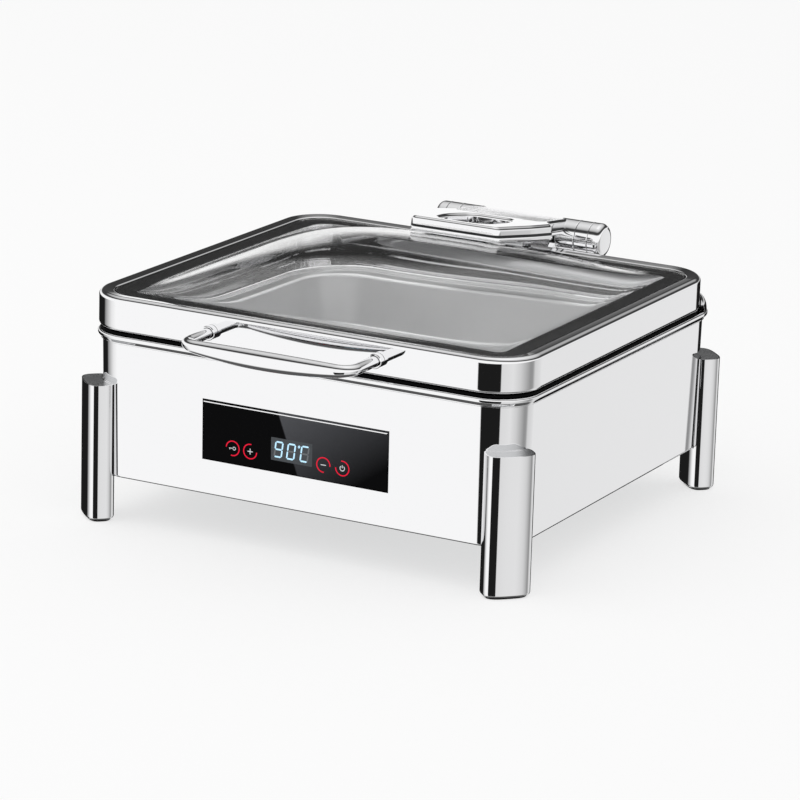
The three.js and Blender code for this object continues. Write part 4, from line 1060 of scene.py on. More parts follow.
@dataclass
class Legs:
    """Four pressed steel legs, lens-shaped in section, each over a rubber foot pad."""

    datum: Datum
    half_long: float = 21.2 * MILLIMETRE
    half_short: float = 13.2 * MILLIMETRE
    wall: float = 2.5 * MILLIMETRE
    foot_round: float = 3 * MILLIMETRE
    pad_inset: float = 3 * MILLIMETRE
    pad_height: float = 1.2 * MILLIMETRE
    edge: float = 0.8 * MILLIMETRE
    end_inset: float = 1.1 * MILLIMETRE
    end_rise: float = 0.06 * MILLIMETRE
    fullness: float = 3.1
    sides: int = 96

    def make(self) -> None:
        """Makes the four legs and their pads."""
        for depth, sign_y in (("front", -1), ("rear", 1)):
            for side, sign_x in (("left", -1), ("right", 1)):
                self.leg(f"{depth}_{side}", sign_x * sign_y)

    def outline(self, centre: Vector, lean: int, shrink: float, height: float) -> Outline:
        """The lens section of a leg, turned across its corner of the casing.

        Args:
            centre: The middle of the leg.
            lean: 1 where the corner's diagonal runs along +X and +Y together, -1 where it doesn't.
            shrink: How far the outline is drawn in.
            height: The outline's height.

        Returns:
            The outline's points.
        """
        across = Vector((1, -lean, 0)).normalized()
        along = Vector((1, lean, 0)).normalized()
        points = []
        for step in range(self.sides):
            angle = 2 * math.pi * step / self.sides
            reach = (abs(math.cos(angle)) ** self.fullness + abs(math.sin(angle)) ** self.fullness) ** (
                -1 / self.fullness)
            spot = (
                Vector((centre.x, centre.y, height))
                + across * ((self.half_long - shrink) * reach * math.cos(angle))
                + along * ((self.half_short - shrink) * reach * math.sin(angle)))
            points.append(tuple(spot))
        return points

    def column(self, name: str, centre: Vector, lean: int,
               layers: Sequence[tuple[float, float]]) -> bpy.types.Object:
        """A column through layers of outlines, each given as how far it is drawn in and its height."""
        return loft(name, [self.outline(centre, lean, shrink, height) for shrink, height in layers])

    def leg(self, corner: str, lean: int) -> None:
        """One leg, cut to the casing's corner, and the pad in its foot."""
        low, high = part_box(f"leg_{corner}")
        pad_low, pad_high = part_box(f"foot_pad_{corner}")
        centre = (pad_low + pad_high) / 2
        rounds = [(self.foot_round * (1 - math.sin(a)), low.z + self.foot_round * (1 - math.cos(a)))
                  for a in (0, math.pi / 8, math.pi / 4, math.pi * 3 / 8, math.pi / 2)]
        leg = self.column("leg", centre, lean, [*rounds, (0, high.z - self.end_rise)])
        combine(leg, self.datum.casing_block(self.datum.gap), "DIFFERENCE")
        soften(leg, self.edge, 3, 50)
        hollow = self.column("hollow", centre, lean, [
            (self.wall, low.z - self.foot_round), (self.wall, high.z - self.wall)])
        combine(hollow, self.datum.casing_block(self.datum.gap + self.wall), "DIFFERENCE")
        combine(leg, hollow, "DIFFERENCE")
        leg.name = f"steel_leg_{corner}"
        place(polish(leg, 40), MIRROR_STEEL, "root", "polished_steel", [f"leg_{corner}"])
        end = self.column(f"linished_end_{corner}", centre, lean, [
            (self.end_inset, high.z - self.wall / 2), (self.end_inset, high.z)])
        combine(end, self.datum.casing_block(self.datum.gap + self.end_inset), "DIFFERENCE")
        place(polish(end, 40), LINISHED_STEEL, "root", "satin_steel", [f"leg_{corner}"])

        pad = self.column(f"rubber_foot_{corner}", centre, lean, [
            (self.pad_inset + 0.4 * MILLIMETRE, pad_low.z), (self.pad_inset, 0.4 * MILLIMETRE),
            (self.pad_inset, self.pad_height), (self.pad_inset - 0.2 * MILLIMETRE, self.pad_height),
            (self.wall + self.datum.gap, pad_high.z)])
        place(polish(pad, 40), BLACK_SILICONE, "root", "black_silicone", [f"foot_pad_{corner}"])


# Control panel


@dataclass
class ControlPanel:
    """The touch panel: bevelled glass, printed keys, and digits that shine through a window."""

    datum: Datum
    glass: float = 4 * MILLIMETRE
    proud: float = 0.6 * MILLIMETRE
    chamfer: float = 1 * MILLIMETRE
    half_width: float = 91.7 * MILLIMETRE
    half_height: float = 27.05 * MILLIMETRE
    ink: float = 0.06 * MILLIMETRE
    window_half: tuple[float, float] = (20.3 * MILLIMETRE, 10.2 * MILLIMETRE)
    window_drop: float = 6.2 * MILLIMETRE
    window_shift: float = 2.4 * MILLIMETRE
    # Width of the strip that paints the bevel's highlight.
    highlight_strip_width: float = 0.9 * MILLIMETRE
    key_drop: float = 12.7 * MILLIMETRE
    key_radius: float = 7 * MILLIMETRE
    key_line: float = 1.05 * MILLIMETRE
    digit_height: float = 13.4 * MILLIMETRE
    digit_width: float = 6.9 * MILLIMETRE
    digit_line: float = 1.45 * MILLIMETRE
    digit_slant: float = 0.13
    frame_matrix: Matrix = field(init=False)

    def __post_init__(self) -> None:
        """Works out where the panel's own frame lies: on the drafted front wall."""
        height = middle_of("panel_glass").z
        front = self.datum.casing.centre_y - self.datum.casing.half_y + self.datum.inset_at(height)
        tilt = math.atan(self.datum.draft / (self.datum.casing_top - self.datum.casing_bottom))
        self.frame_matrix = Matrix.Translation((0, front, height)) @ Matrix.Rotation(tilt, 4, "X")

    def make(self) -> None:
        """Makes the glass, the window, the digits and the keys."""
        glass_back = self.glass - self.proud
        layers = [(self.chamfer, self.proud), (0, self.proud - self.chamfer), (0, -glass_back)]
        outlines = []
        for inset, rise in layers:
            half_x = self.half_width - inset
            half_z = self.half_height - inset
            outlines.append([
                (-half_x, -half_z, rise), (half_x, -half_z, rise), (half_x, half_z, rise),
                (-half_x, half_z, rise)])
        glass = loft("touch_glass", outlines)
        soften(glass, 0.25 * MILLIMETRE, 2, 30)
        self.lay(glass, PANEL_GLASS, "black_glass", ["panel_glass"])
        # Painted highlight: a thin mirror-steel strip on the glass, along its top edge, stands in for the glint on
        # the bevel.
        rise = self.half_height - self.chamfer - self.highlight_strip_width
        end = self.half_width - self.chamfer
        glint = prism("polished_bevel", [
            (-end, rise - self.highlight_strip_width / 2), (end - self.highlight_strip_width, rise - self.highlight_strip_width / 2),
            (end, rise + self.highlight_strip_width / 2), (-end, rise + self.highlight_strip_width / 2)],
            self.proud - self.ink, self.proud + self.ink)
        self.lay(glint, MIRROR_STEEL, "black_glass")
        self.display()
        self.keys()

    def lay(self, piece: bpy.types.Object, finish: Finish, slot: str, nodes: Sequence[str] = ()) -> None:
        """Turns a flat piece up onto the panel and finishes it."""
        piece.data.transform(self.frame_matrix @ Matrix.Rotation(math.pi / 2, 4, "X"))
        place(polish(piece, 40), finish, "root", slot, nodes)

    def patch(self, name: str, outline: Path) -> bpy.types.Object:
        """A thin print on the glass, from its outline."""
        return prism(name, outline, self.proud, self.proud + self.ink)

    def display(self) -> None:
        """The smoked window, with slanted seven-bar digits that read 90 degrees."""
        half_x, half_z = self.window_half
        window = filleted([
            (sign_x * half_x - self.window_shift, sign_z * half_z - self.window_drop, 0.6 * MILLIMETRE)
            for sign_x, sign_z in ((-1, -1), (1, -1), (1, 1), (-1, 1))], closed=True)
        self.lay(prism("display_window", window, self.proud, self.proud + self.ink / 2), SMOKED_WINDOW,
                 "display_plastic")
        signs = {"9": "abcdfg", "0": "abcdef", "C": "adef"}
        starts = {"9": -15.2 * MILLIMETRE, "0": -2.9 * MILLIMETRE, "C": 10.4 * MILLIMETRE}
        lit, unlit = [], []
        for sign, centre in starts.items():
            for bar in "abcdefg":
                (lit if bar in signs[sign] else unlit).append(self.bar(bar, centre))
        lit += [self.bar(bar, 4.2 * MILLIMETRE, 0.17) for bar in "abcd"]
        self.lay(join_pieces("temperature_digits", lit), DIGIT_LAMP, "display_plastic")
        self.lay(join_pieces("unlit_digit_bars", unlit), UNLIT_DIGIT, "display_plastic")

    def bar(self, bar: str, centre: float, size: float = 1.0) -> bpy.types.Object:
        """One bar of a seven-bar sign.

        Args:
            bar: The bar's usual letter, from a at the top round to g in the middle.
            centre: Where the sign stands along the window.
            size: The sign's size. A small one stands at the top, as the degree sign does.

        Returns:
            The bar, still lying flat.
        """
        half_x = self.digit_width * size / 2
        step = self.digit_height * (1 if size == 1 else size) / 2
        top = self.digit_height / 2
        level = {"a": top, "g": top - step, "d": top - 2 * step}
        line = self.digit_line * (1 if size == 1 else 0.7) / 2
        if size != 1:
            shapes = {"a": ((-half_x, top), (half_x, top)), "b": ((half_x, top), (half_x, top - 2 * step)),
                      "c": ((-half_x, top - 2 * step), (half_x, top - 2 * step)),
                      "d": ((-half_x, top - 2 * step), (-half_x, top))}
        else:
            shapes = {
                "a": ((-half_x, level["a"]), (half_x, level["a"])),
                "b": ((half_x, level["g"]), (half_x, level["a"])),
                "c": ((half_x, level["d"]), (half_x, level["g"])),
                "d": ((-half_x, level["d"]), (half_x, level["d"])),
                "e": ((-half_x, level["d"]), (-half_x, level["g"])),
                "f": ((-half_x, level["g"]), (-half_x, level["a"])),
                "g": ((-half_x, level["g"]), (half_x, level["g"])),
            }
        start, end = (Vector(point) for point in shapes[bar])
        way = (end - start).normalized()
        side = Vector((-way.y, way.x))
        start, end = start + way * line * 0.25, end - way * line * 0.25
        outline = [start, start + (way + side) * line, end + (side - way) * line, end,
                   end - (way + side) * line, start + (way - side) * line]
        slanted = [(centre + p.x + p.y * self.digit_slant, p.y - self.window_drop) for p in outline]
        return self.patch("bar", slanted)

    def keys(self) -> None:
        """Four touch keys: each a red ring with a gap, round a grey symbol."""
        places = {
            "lock": (-61 * MILLIMETRE, 215), "plus": (-43.5 * MILLIMETRE, 40),
            "minus": (29 * MILLIMETRE, -45), "power": (47.5 * MILLIMETRE, 140),
        }
        for name, (across, gap_at) in places.items():
            ring = self.ring(f"ring_{name}", across, self.key_radius, self.key_line, gap_at, 80)
            self.lay(ring, RED_INK, "black_glass")
            self.lay(join_pieces(f"symbol_{name}", self.symbol(name, across)), GREY_INK, "black_glass")

    def ring(self, name: str, across: float, radius: float, line: float, gap_at: float,
             gap: float) -> bpy.types.Object:
        """A flat ring with a gap in it, both given in degrees."""
        start = gap_at + gap / 2
        angles = [math.radians(start + (360 - gap) * step / 40) for step in range(41)]
        outer = [(across + radius * math.cos(a), radius * math.sin(a) - self.key_drop) for a in angles]
        inner_radius = radius - line
        inner = [
            (across + inner_radius * math.cos(a), inner_radius * math.sin(a) - self.key_drop) for a in angles]
        return self.patch(name, outer + inner[::-1])

    def strip(self, across: float, rise: float, half_x: float, half_z: float) -> bpy.types.Object:
        """A small printed rectangle."""
        height = rise - self.key_drop
        return self.patch("strip", [
            (across - half_x, height - half_z), (across + half_x, height - half_z),
            (across + half_x, height + half_z), (across - half_x, height + half_z)])

    def symbol(self, name: str, across: float) -> list[bpy.types.Object]:
        """The printed marks inside a key's ring."""
        arm = 2.6 * MILLIMETRE
        line = 0.4 * MILLIMETRE
        if name == "plus":
            return [self.strip(across, 0, arm, line), self.strip(across, (arm + line) / 2, line, (arm - line) / 2),
                    self.strip(across, -(arm + line) / 2, line, (arm - line) / 2)]
        if name == "minus":
            return [self.strip(across, 0, arm, line)]
        if name == "power":
            return [self.ring("arc", across, arm, 2 * line, 90, 70), self.strip(across, arm * 0.6, line, arm / 2)]
        return [self.ring("bow", across + arm * 0.6, arm * 0.62, 1.6 * line, 180, 20),
                self.strip(across - arm * 0.7, 0, arm * 0.65, line * 0.8),
                self.strip(across - arm * 1.1, -2 * line, line * 0.8, line * 1.2)]


# Power inlet


@dataclass
class PowerInlet:
    """The moulded inlet in the rear wall, with three blades in its mouth."""

    def make(self) -> None:
        """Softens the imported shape's edges, as a mould leaves them."""
        inlet = copy_node("power_inlet", "moulded_inlet")
        soften(inlet, 0.45 * MILLIMETRE, 3, 40)
        place(polish(inlet, 40), BLACK_PLASTIC, "root", "black_plastic", ["power_inlet"])


def copy_node(node: str, name: str) -> bpy.types.Object:
    """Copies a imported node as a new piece, with its loose triangles merged."""
    deselect_everything()
    packed = bpy.data.objects[node]
    piece = packed.copy()
    piece.data = packed.data.copy()
    piece.parent = None
    piece.name = name
    for key in [key for key in piece.keys() if key.startswith("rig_")]:
        del piece[key]
    bpy.context.scene.collection.objects.link(piece)
    close_up(piece)
    edit(piece)
    bpy.ops.mesh.dissolve_limited(angle_limit=math.radians(1))
    bpy.ops.object.mode_set(mode="OBJECT")
    return piece


# Lid


@dataclass
class Dome:
    """The bent shape of the lid glass: flat at its border, bowed over the clear area."""

    lid: RoundSquare
    flat_height: float
    band: float = 13.7 * MILLIMETRE
    border: float = 19 * MILLIMETRE
    rise: float = 30 * MILLIMETRE
    crease: float = 1.3 * MILLIMETRE

    def height(self, x: float, y: float) -> float:
        """The height of the glass's upper face above a point."""
        clear_x = self.lid.half_x - self.band - self.border
        clear_y = self.lid.half_y - self.band - self.border
        share_x = min(abs(x) / clear_x, 1)
        share_y = min(abs(y - self.lid.centre_y) / clear_y, 1)
        bow = self.rise * (1 - share_x ** 3) * (1 - share_y ** 3)
        return self.flat_height + bow * bow / (bow + self.crease) if bow > 0 else self.flat_height

    def slab(self, name: str, low: Sequence[float], high: Sequence[float], lift: float, depth: float,
             counts: tuple[int, int]) -> bpy.types.Object:
        """A slab under the dome's upper face, moved up by a lift.

        Args:
            name: The new piece's name.
            low: Its lowest X and Y.
            high: Its highest X and Y.
            lift: How far its upper face lies above the glass.
            depth: How deep it is. The underside is parallel to the upper face.
            counts: The number of faces along X and along Y.

        Returns:
            The slab.
        """
        deselect_everything()
        bpy.ops.mesh.primitive_grid_add(
            x_subdivisions=counts[0], y_subdivisions=counts[1], size=1.0,
            location=((low[0] + high[0]) / 2, (low[1] + high[1]) / 2, 0))
        piece = bpy.context.object
        piece.name = name
        piece.scale = (high[0] - low[0], high[1] - low[1], 1)
        bpy.ops.object.transform_apply(location=True, scale=True)
        for vertex in piece.data.vertices:
            vertex.co.z = self.height(vertex.co.x, vertex.co.y) + lift
        apply_modifier(piece, "SOLIDIFY", thickness=depth, offset=-1.0, use_even_offset=False)
        return piece


@dataclass
class Lid:
    """The lid: a folded steel frame that holds bent glass on a black seal."""

    datum: Datum
    dome: Dome
    bottom_lip: float = 9 * MILLIMETRE
    bottom_round: float = 5 * MILLIMETRE
    shoulder: float = 4.6 * MILLIMETRE
    band_fall: float = 1.7 * MILLIMETRE
    fold: float = 1.7 * MILLIMETRE
    seat_inner: float = 29 * MILLIMETRE
    glass: float = 4 * MILLIMETRE
    glass_gap: float = 0.3 * MILLIMETRE
    gasket_inset: float = 1.6 * MILLIMETRE
    gasket_width: float = 6 * MILLIMETRE
    screw_hole: float = 3.6 * MILLIMETRE

    def make(self) -> None:
        """Makes the frame, the glass, its seal and the gasket under the frame."""
        self.frame()
        self.glass_pane()
        self.seal()
        self.gasket()

    def frame(self) -> None:
        """The section turns in at the foot, stands up, folds over the shoulder and drops to the seat."""
        datum = self.datum
        band = self.dome.band
        seat_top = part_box("glass_seal")[0].z - datum.gap
        face = filleted([
            (-self.bottom_lip, datum.lid_bottom, 0),
            (0, datum.lid_bottom, self.bottom_round),
            (0, datum.lid_top, self.shoulder),
            (-band, datum.lid_top - self.band_fall, self.fold),
            (-band, seat_top, 1 * MILLIMETRE),
            (-self.seat_inner, seat_top, 0),
        ])
        frame = sweep("folded_lid_frame", datum.lid, walled(face, datum.sheet), steps=24)
        for side in ("left", "right"):
            centre = middle_of(f"handle_screw_{side}")
            hole = turned_piece(
                "hole", drum_profile(2.3 * MILLIMETRE, -20 * MILLIMETRE, 20 * MILLIMETRE, 0), Axis.Y,
                centre, 32)
            combine(frame, hole, "DIFFERENCE")
        place(polish(frame, 40), MIRROR_STEEL, "lid", "polished_steel", ["lid_frame"])

    def glass_pane(self) -> None:
        """The pane is bent over its dome, cut to the frame's inner outline and seamed."""
        lid = self.datum.lid
        reach = -self.dome.band - self.glass_gap
        half_x = lid.half_x + reach + self.glass
        half_y = lid.half_y + reach + self.glass
        pane = self.dome.slab(
            "bent_glass", (-half_x, lid.centre_y - half_y), (half_x, lid.centre_y + half_y), 0.0,
            self.glass, (170, 156))
        edge = loft("pane_edge", [
            lid.outline(reach, height)
            for height in (self.dome.flat_height - 3 * self.glass, self.dome.flat_height + 3 * self.dome.rise)])
        combine(pane, edge, "INTERSECT")
        for side in ("left", "right"):
            centre = middle_of(f"arm_screw_{side}")
            hole = turned_piece("hole", drum_profile(
                self.screw_hole, -30 * MILLIMETRE, 30 * MILLIMETRE, 0), Axis.Z, centre, 32)
            combine(pane, hole, "DIFFERENCE")
        soften(pane, 0.5 * MILLIMETRE, 2, 60)
        place(polish(pane, 40), CLEAR_GLASS, "lid", "clear_glass", ["lid_glass"])

    def seal(self) -> None:
        """A flat black seal, as wide as the border that shows through the glass."""
        low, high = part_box("glass_seal")
        outer = -self.dome.band - self.datum.gap
        inner = -self.dome.band - self.dome.border
        round_over = 0.4 * MILLIMETRE
        section = filleted([
            (outer, low.z, round_over), (outer, high.z, round_over), (inner, high.z, round_over),
            (inner, low.z, round_over)], closed=True)
        seal = sweep("bonded_glass_seal", self.datum.lid, section, steps=20)
        place(polish(seal, 40), BLACK_SILICONE, "lid", "black_silicone", ["glass_seal"])

    def gasket(self) -> None:
        """A round-edged gasket in the frame's foot, which rests on the rim."""
        low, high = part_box("lid_gasket")
        round_over = 0.9 * MILLIMETRE
        outer = -self.gasket_inset
        inner = outer - self.gasket_width
        section = filleted([
            (outer, low.z, round_over), (outer, high.z, round_over), (inner, high.z, round_over),
            (inner, low.z, round_over)], closed=True)
        gasket = sweep("foot_gasket", self.datum.lid, section, steps=20)
        place(polish(gasket, 40), BLACK_SILICONE, "lid", "black_silicone", ["lid_gasket"])


@dataclass
class Handle:
    """The front handle: two round arms and a swelling grip, bent from one bar."""

    datum: Datum
    half_width: float = 81.5 * MILLIMETRE
    corner: float = 13 * MILLIMETRE
    arm_size: tuple[float, float] = (10 * MILLIMETRE, 9.5 * MILLIMETRE)
    grip_size: tuple[float, float] = (14 * MILLIMETRE, 17 * MILLIMETRE)
    sag: float = 3 * MILLIMETRE
    grip_steps: int = 26
    bend_steps: int = 10
    sides: int = 40
    collar_growth: float = 1.4 * MILLIMETRE
    collar_gap: float = 0.45 * MILLIMETRE

    def make(self) -> None:
        """Makes the bar and its two collars."""
        self.bar()
        for side, sign in (("left", -1), ("right", 1)):
            self.collar(side, sign)

    def path(self) -> list[Vector]:
        """The middle line from the left root round to the right root."""
        low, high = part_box("handle")
        grip_y = low.y + self.grip_size[0] / 2
        root_y = high.y
        reach = self.half_width - self.corner
        right = [Vector((reach * step / self.grip_steps, grip_y)) for step in range(self.grip_steps + 1)]
        for step in range(1, self.bend_steps + 1):
            angle = math.pi / 2 * step / self.bend_steps
            right.append(Vector((
                reach + self.corner * math.sin(angle), grip_y + self.corner * (1 - math.cos(angle)))))
        right += [Vector((self.half_width, (grip_y + self.corner + root_y) / 2)),
                  Vector((self.half_width, root_y))]
        left = [Vector((-point.x, point.y)) for point in right[1:]][::-1]
        return left + right

    def bar(self) -> None:
        """An oval section swells from the arms to the middle of the grip, which hangs a little."""
        height = middle_of("handle_screw_left").z
        path = self.path()
        outlines = []
        for index, spot in enumerate(path):
            before = path[max(index - 1, 0)]
            after = path[min(index + 1, len(path) - 1)]
            way = (after - before).normalized()
            swell = max(1 - (abs(spot.x) / self.half_width) ** 2, 0)
            wide = (self.arm_size[0] + (self.grip_size[0] - self.arm_size[0]) * swell) / 2
            tall = (self.arm_size[1] + (self.grip_size[1] - self.arm_size[1]) * swell) / 2
            outline = []
            for step in range(self.sides):
                angle = 2 * math.pi * step / self.sides
                out = wide * math.cos(angle)
                outline.append((
                    spot.x - way.y * out, spot.y + way.x * out,
                    height - self.sag * swell + tall * math.sin(angle)))
            outlines.append(outline)
        place(polish(loft("bent_bar_handle", outlines), 40), MIRROR_STEEL, "lid", "polished_steel", ["handle"])

    def collar(self, side: str, sign: int) -> None:
        """A thin collar round an arm's root."""
        low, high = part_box(f"handle_collar_{side}")
        height = middle_of("handle_screw_left").z
        edge = 0.5 * MILLIMETRE
        outer = self.datum.gap + self.collar_growth
        section = [
            (self.collar_gap, low.y), (outer - edge, low.y), (outer, low.y + edge), (outer, high.y),
            (self.collar_gap, high.y), (self.collar_gap, low.y)]
        outlines = []
        for grow, y in section:
            outline = []
            for step in range(self.sides):
                angle = 2 * math.pi * step / self.sides
                outline.append((
                    sign * self.half_width + (self.arm_size[0] / 2 + grow) * math.cos(angle), y,
                    height + (self.arm_size[1] / 2 + grow) * math.sin(angle)))
            outlines.append(outline)
        collar = loft(f"root_collar_{side}", outlines, capped=False)
        place(polish(collar, 40), MIRROR_STEEL, "lid", "polished_steel", [f"handle_collar_{side}"])


# Hinge


@dataclass
class HingeArm:
    """The cast arm: a ring over the dome that runs back on two necks to the hinge barrels."""

    datum: Datum
    dome: Dome
    length: float = 93 * MILLIMETRE
    rear_setback: float = 15.4 * MILLIMETRE
    thickness: float = 14.4 * MILLIMETRE
    edge: float = 3.2 * MILLIMETRE
    window_edge: float = 3 * MILLIMETRE
    under_edge: float = 1.6 * MILLIMETRE
    side_lean: float = 0.115
    groove: float = 1.5 * MILLIMETRE
    groove_depth: float = 8.9 * MILLIMETRE
    shade_strip_sunk: float = 0.1 * MILLIMETRE
    barrel: float = 16.5 * MILLIMETRE
    barrel_edge: float = 1 * MILLIMETRE
    bore: float = 7.6 * MILLIMETRE
    lug: tuple[float, float] = (42 * MILLIMETRE, 61.5 * MILLIMETRE)
    skirt_gap: float = 0.5 * MILLIMETRE
    pad_top: float = 2.1 * MILLIMETRE
    foot_half: float = 30 * MILLIMETRE
    foot_reach: float = 9 * MILLIMETRE
    foot_lip: float = 5 * MILLIMETRE
    foot_setback: float = 3 * MILLIMETRE
    boss_half: float = 34 * MILLIMETRE
    outline_corners: tuple = (
        (44.8, 0, 9), (57.5, 51, 80), (61.8, 82, 10), (50, 99.5, 9), (50, 142, 0), (42, 142, 0), (42, 93, 5))
    window_corners: tuple = ((24, 15.5, 14), (30, 50, 60), (20, 78, 9))

    def mirrored(self, corners: Sequence[tuple[float, float, float]]) -> Path:
        """The rounded outline that a list of right-hand corners gives, in millimetres from the arm's front."""
        front = self.front
        right = [(x * MILLIMETRE, front + y * MILLIMETRE, r * MILLIMETRE) for x, y, r in corners]
        left = [(-x, y, r) for x, y, r in right][::-1]
        return filleted(right + left, closed=True)

    @property
    def rear(self) -> float:
        """Where the ring's rear bar ends."""
        return self.datum.lid.centre_y + self.datum.lid.half_y - self.rear_setback

    @property
    def front(self) -> float:
        """Where the arm starts."""
        return self.rear - self.length

    def top_at(self, y: float) -> float:
        """The height of the arm's sloping top."""
        top_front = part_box("hinge_arm")[1].z
        slope = (top_front - self.datum.hinge.z - self.barrel) / (self.datum.hinge.y - self.front)
        return top_front - (y - self.front) * slope

    def edge_profile(self, grooved: bool) -> Path:
        """The arm's side, from the top down.

        Args:
            grooved: Whether a groove parts the body from a lower roll, as on the arm's outside.

        Returns:
            Each point's depth under the top and how far it is drawn in.
        """
        edge = self.edge if grooved else self.window_edge
        turns = [math.pi / 2 * step / 6 for step in range(7)]
        profile = [(edge * (1 - math.cos(a)), edge * (1 - math.sin(a))) for a in turns]
        if grooved:
            lip = [
                (self.groove_depth - self.groove + self.groove * math.sin(a),
                 self.groove * (1 - math.cos(a)))
                for a in turns[::2]]
            profile += lip
            profile += [(2 * self.groove_depth - depth, inset) for depth, inset in lip[::-1][1:]]
        profile += [
            (self.thickness - self.under_edge * (1 - math.sin(a)), self.under_edge * (1 - math.cos(a)))
            for a in turns[::2]]
        return [(depth, inset + self.lean_at(depth)) for depth, inset in profile]

    def lean_at(self, depth: float) -> float:
        """How far the leaning side is drawn in at a depth under the top."""
        return self.side_lean * max(self.thickness - self.under_edge - depth, 0)

    def groove_shade_strip(self) -> None:
        """Painted shade: a black strip in the groove, all along the arm's outside up to its barrels, stands in for
        the groove's shadow.
        """
        half = self.groove - self.shade_strip_sunk
        corners = [
            (-half, self.shade_strip_sunk), (half, self.shade_strip_sunk), (half, 2 * self.groove),
            (-half, 2 * self.groove), (-half, self.shade_strip_sunk)]
        path = self.mirrored(self.outline_corners)
        outlines = [
            [(x, y, self.top_at(y) - self.groove_depth - drop)
             for x, y in offset_path(path, inset + self.lean_at(self.groove_depth), True)]
            for drop, inset in corners]
        groove_shade_strip = loft("arm_seam_strip", outlines, capped=False)
        reach = self.lug[1] + self.barrel
        hinge = self.datum.hinge
        room = turned_piece(
            "room", drum_profile(self.barrel - self.barrel_edge, -reach, reach, 0), Axis.X,
            (0, hinge.y, hinge.z), 48)
        combine(groove_shade_strip, room, "DIFFERENCE")
        # Painted shade: black plastic stands in for the shadow in the groove.
        place(polish(groove_shade_strip, 38), BLACK_PLASTIC, "lid", "black_plastic", ["hinge_arm"])

    def layers(self, path: Path, sign: int, over: float) -> list[Outline]:
        """The outlines from the top down, with rounded edges.

        Args:
            path: The outline at its full size.
            sign: 1 for the arm's outside, -1 for its window.
            over: How far the first and last layers run past the top and the underside.

        Returns:
            The outlines.
        """
        profile = self.edge_profile(grooved=sign > 0)
        if over > 0:
            profile = [(-over, profile[0][1]), *profile, (self.thickness + over, profile[-1][1])]
        return [
            [(x, y, self.top_at(y) - depth) for x, y in offset_path(path, sign * inset, True)]
            for depth, inset in profile]

    def make(self) -> None:
        """Makes the arm from its ring, foot, boss and barrels."""
        arm = loft("cast_hinge_arm", self.layers(self.mirrored(self.outline_corners), 1, 0.0))
        window = loft("arm_window", self.layers(self.mirrored(self.window_corners), -1, 5 * MILLIMETRE))
        combine(arm, window, "DIFFERENCE")
        combine(arm, self.boss(), "UNION")
        under = self.dome.slab(
            "under_dome", (-80 * MILLIMETRE, self.front - 20 * MILLIMETRE), (80 * MILLIMETRE, self.rear),
            self.skirt_gap, 45 * MILLIMETRE, (60, 50))
        combine(arm, under, "DIFFERENCE")
        pad_low, pad_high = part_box("arm_pad")
        gap = self.datum.gap
        recess = self.dome.slab(
            "pad_recess", (pad_low.x - gap, pad_low.y - gap), (pad_high.x + gap, pad_high.y + gap),
            self.pad_top, 20 * MILLIMETRE, (24, 5))
        combine(arm, recess, "DIFFERENCE")
        combine(arm, self.foot(), "UNION")
        for sign in (-1, 1):
            combine(arm, self.lug_barrel(sign), "UNION")
        place(polish(arm, 38), MIRROR_STEEL, "lid", "polished_steel", ["hinge_arm"])
        self.groove_shade_strip()

    def boss(self) -> bpy.types.Object:
        """The block under the front bar that takes the two clamp screws."""
        centre = middle_of("arm_screw_left")
        half = 5 * MILLIMETRE
        boss = box_piece(
            "boss", (-self.boss_half, centre.y - half, self.datum.lid_top),
            (self.boss_half, centre.y + half, self.top_at(centre.y) - self.thickness / 2))
        return soften(boss, 1.5 * MILLIMETRE, 3, 60)

    def foot(self) -> bpy.types.Object:
        """The block under the rear bar that stands on the lid's steel band."""
        front = self.rear - self.foot_reach
        rear = self.datum.lid.centre_y + self.datum.lid.half_y - self.foot_setback
        low = self.datum.lid_top + self.datum.gap
        high = self.top_at(front) - self.thickness / 2
        outline = [(front, low), (rear, low), (rear, low + self.foot_lip), (self.rear, high), (front, high)]
        foot = prism("foot", outline, -self.foot_half, self.foot_half)
        foot.data.transform(Matrix(((0, 0, 1, 0), (1, 0, 0, 0), (0, 1, 0, 0), (0, 0, 0, 1))))
        return soften(foot, 1 * MILLIMETRE, 3, 40)

    def lug_barrel(self, sign: int) -> bpy.types.Object:
        """One of the arm's two barrels on the hinge shaft."""
        near, far = sorted(sign * end for end in self.lug)
        return ring_barrel("lug", self.barrel, self.bore, near, far, self.barrel_edge, self.datum.hinge)


def ring_barrel(name: str, radius: float, bore: float, near: float, far: float, edge: float,
                hinge: Vector) -> bpy.types.Object:
    """A bored barrel round the hinge shaft, with eased edges."""
    corners = [(bore, near, 0), (radius, near, edge), (radius, far, edge), (bore, far, 0)]
    section = filleted(corners, closed=True)
    return turned_piece(name, section, Axis.X, (0, hinge.y, hinge.z), 96, closed=True)


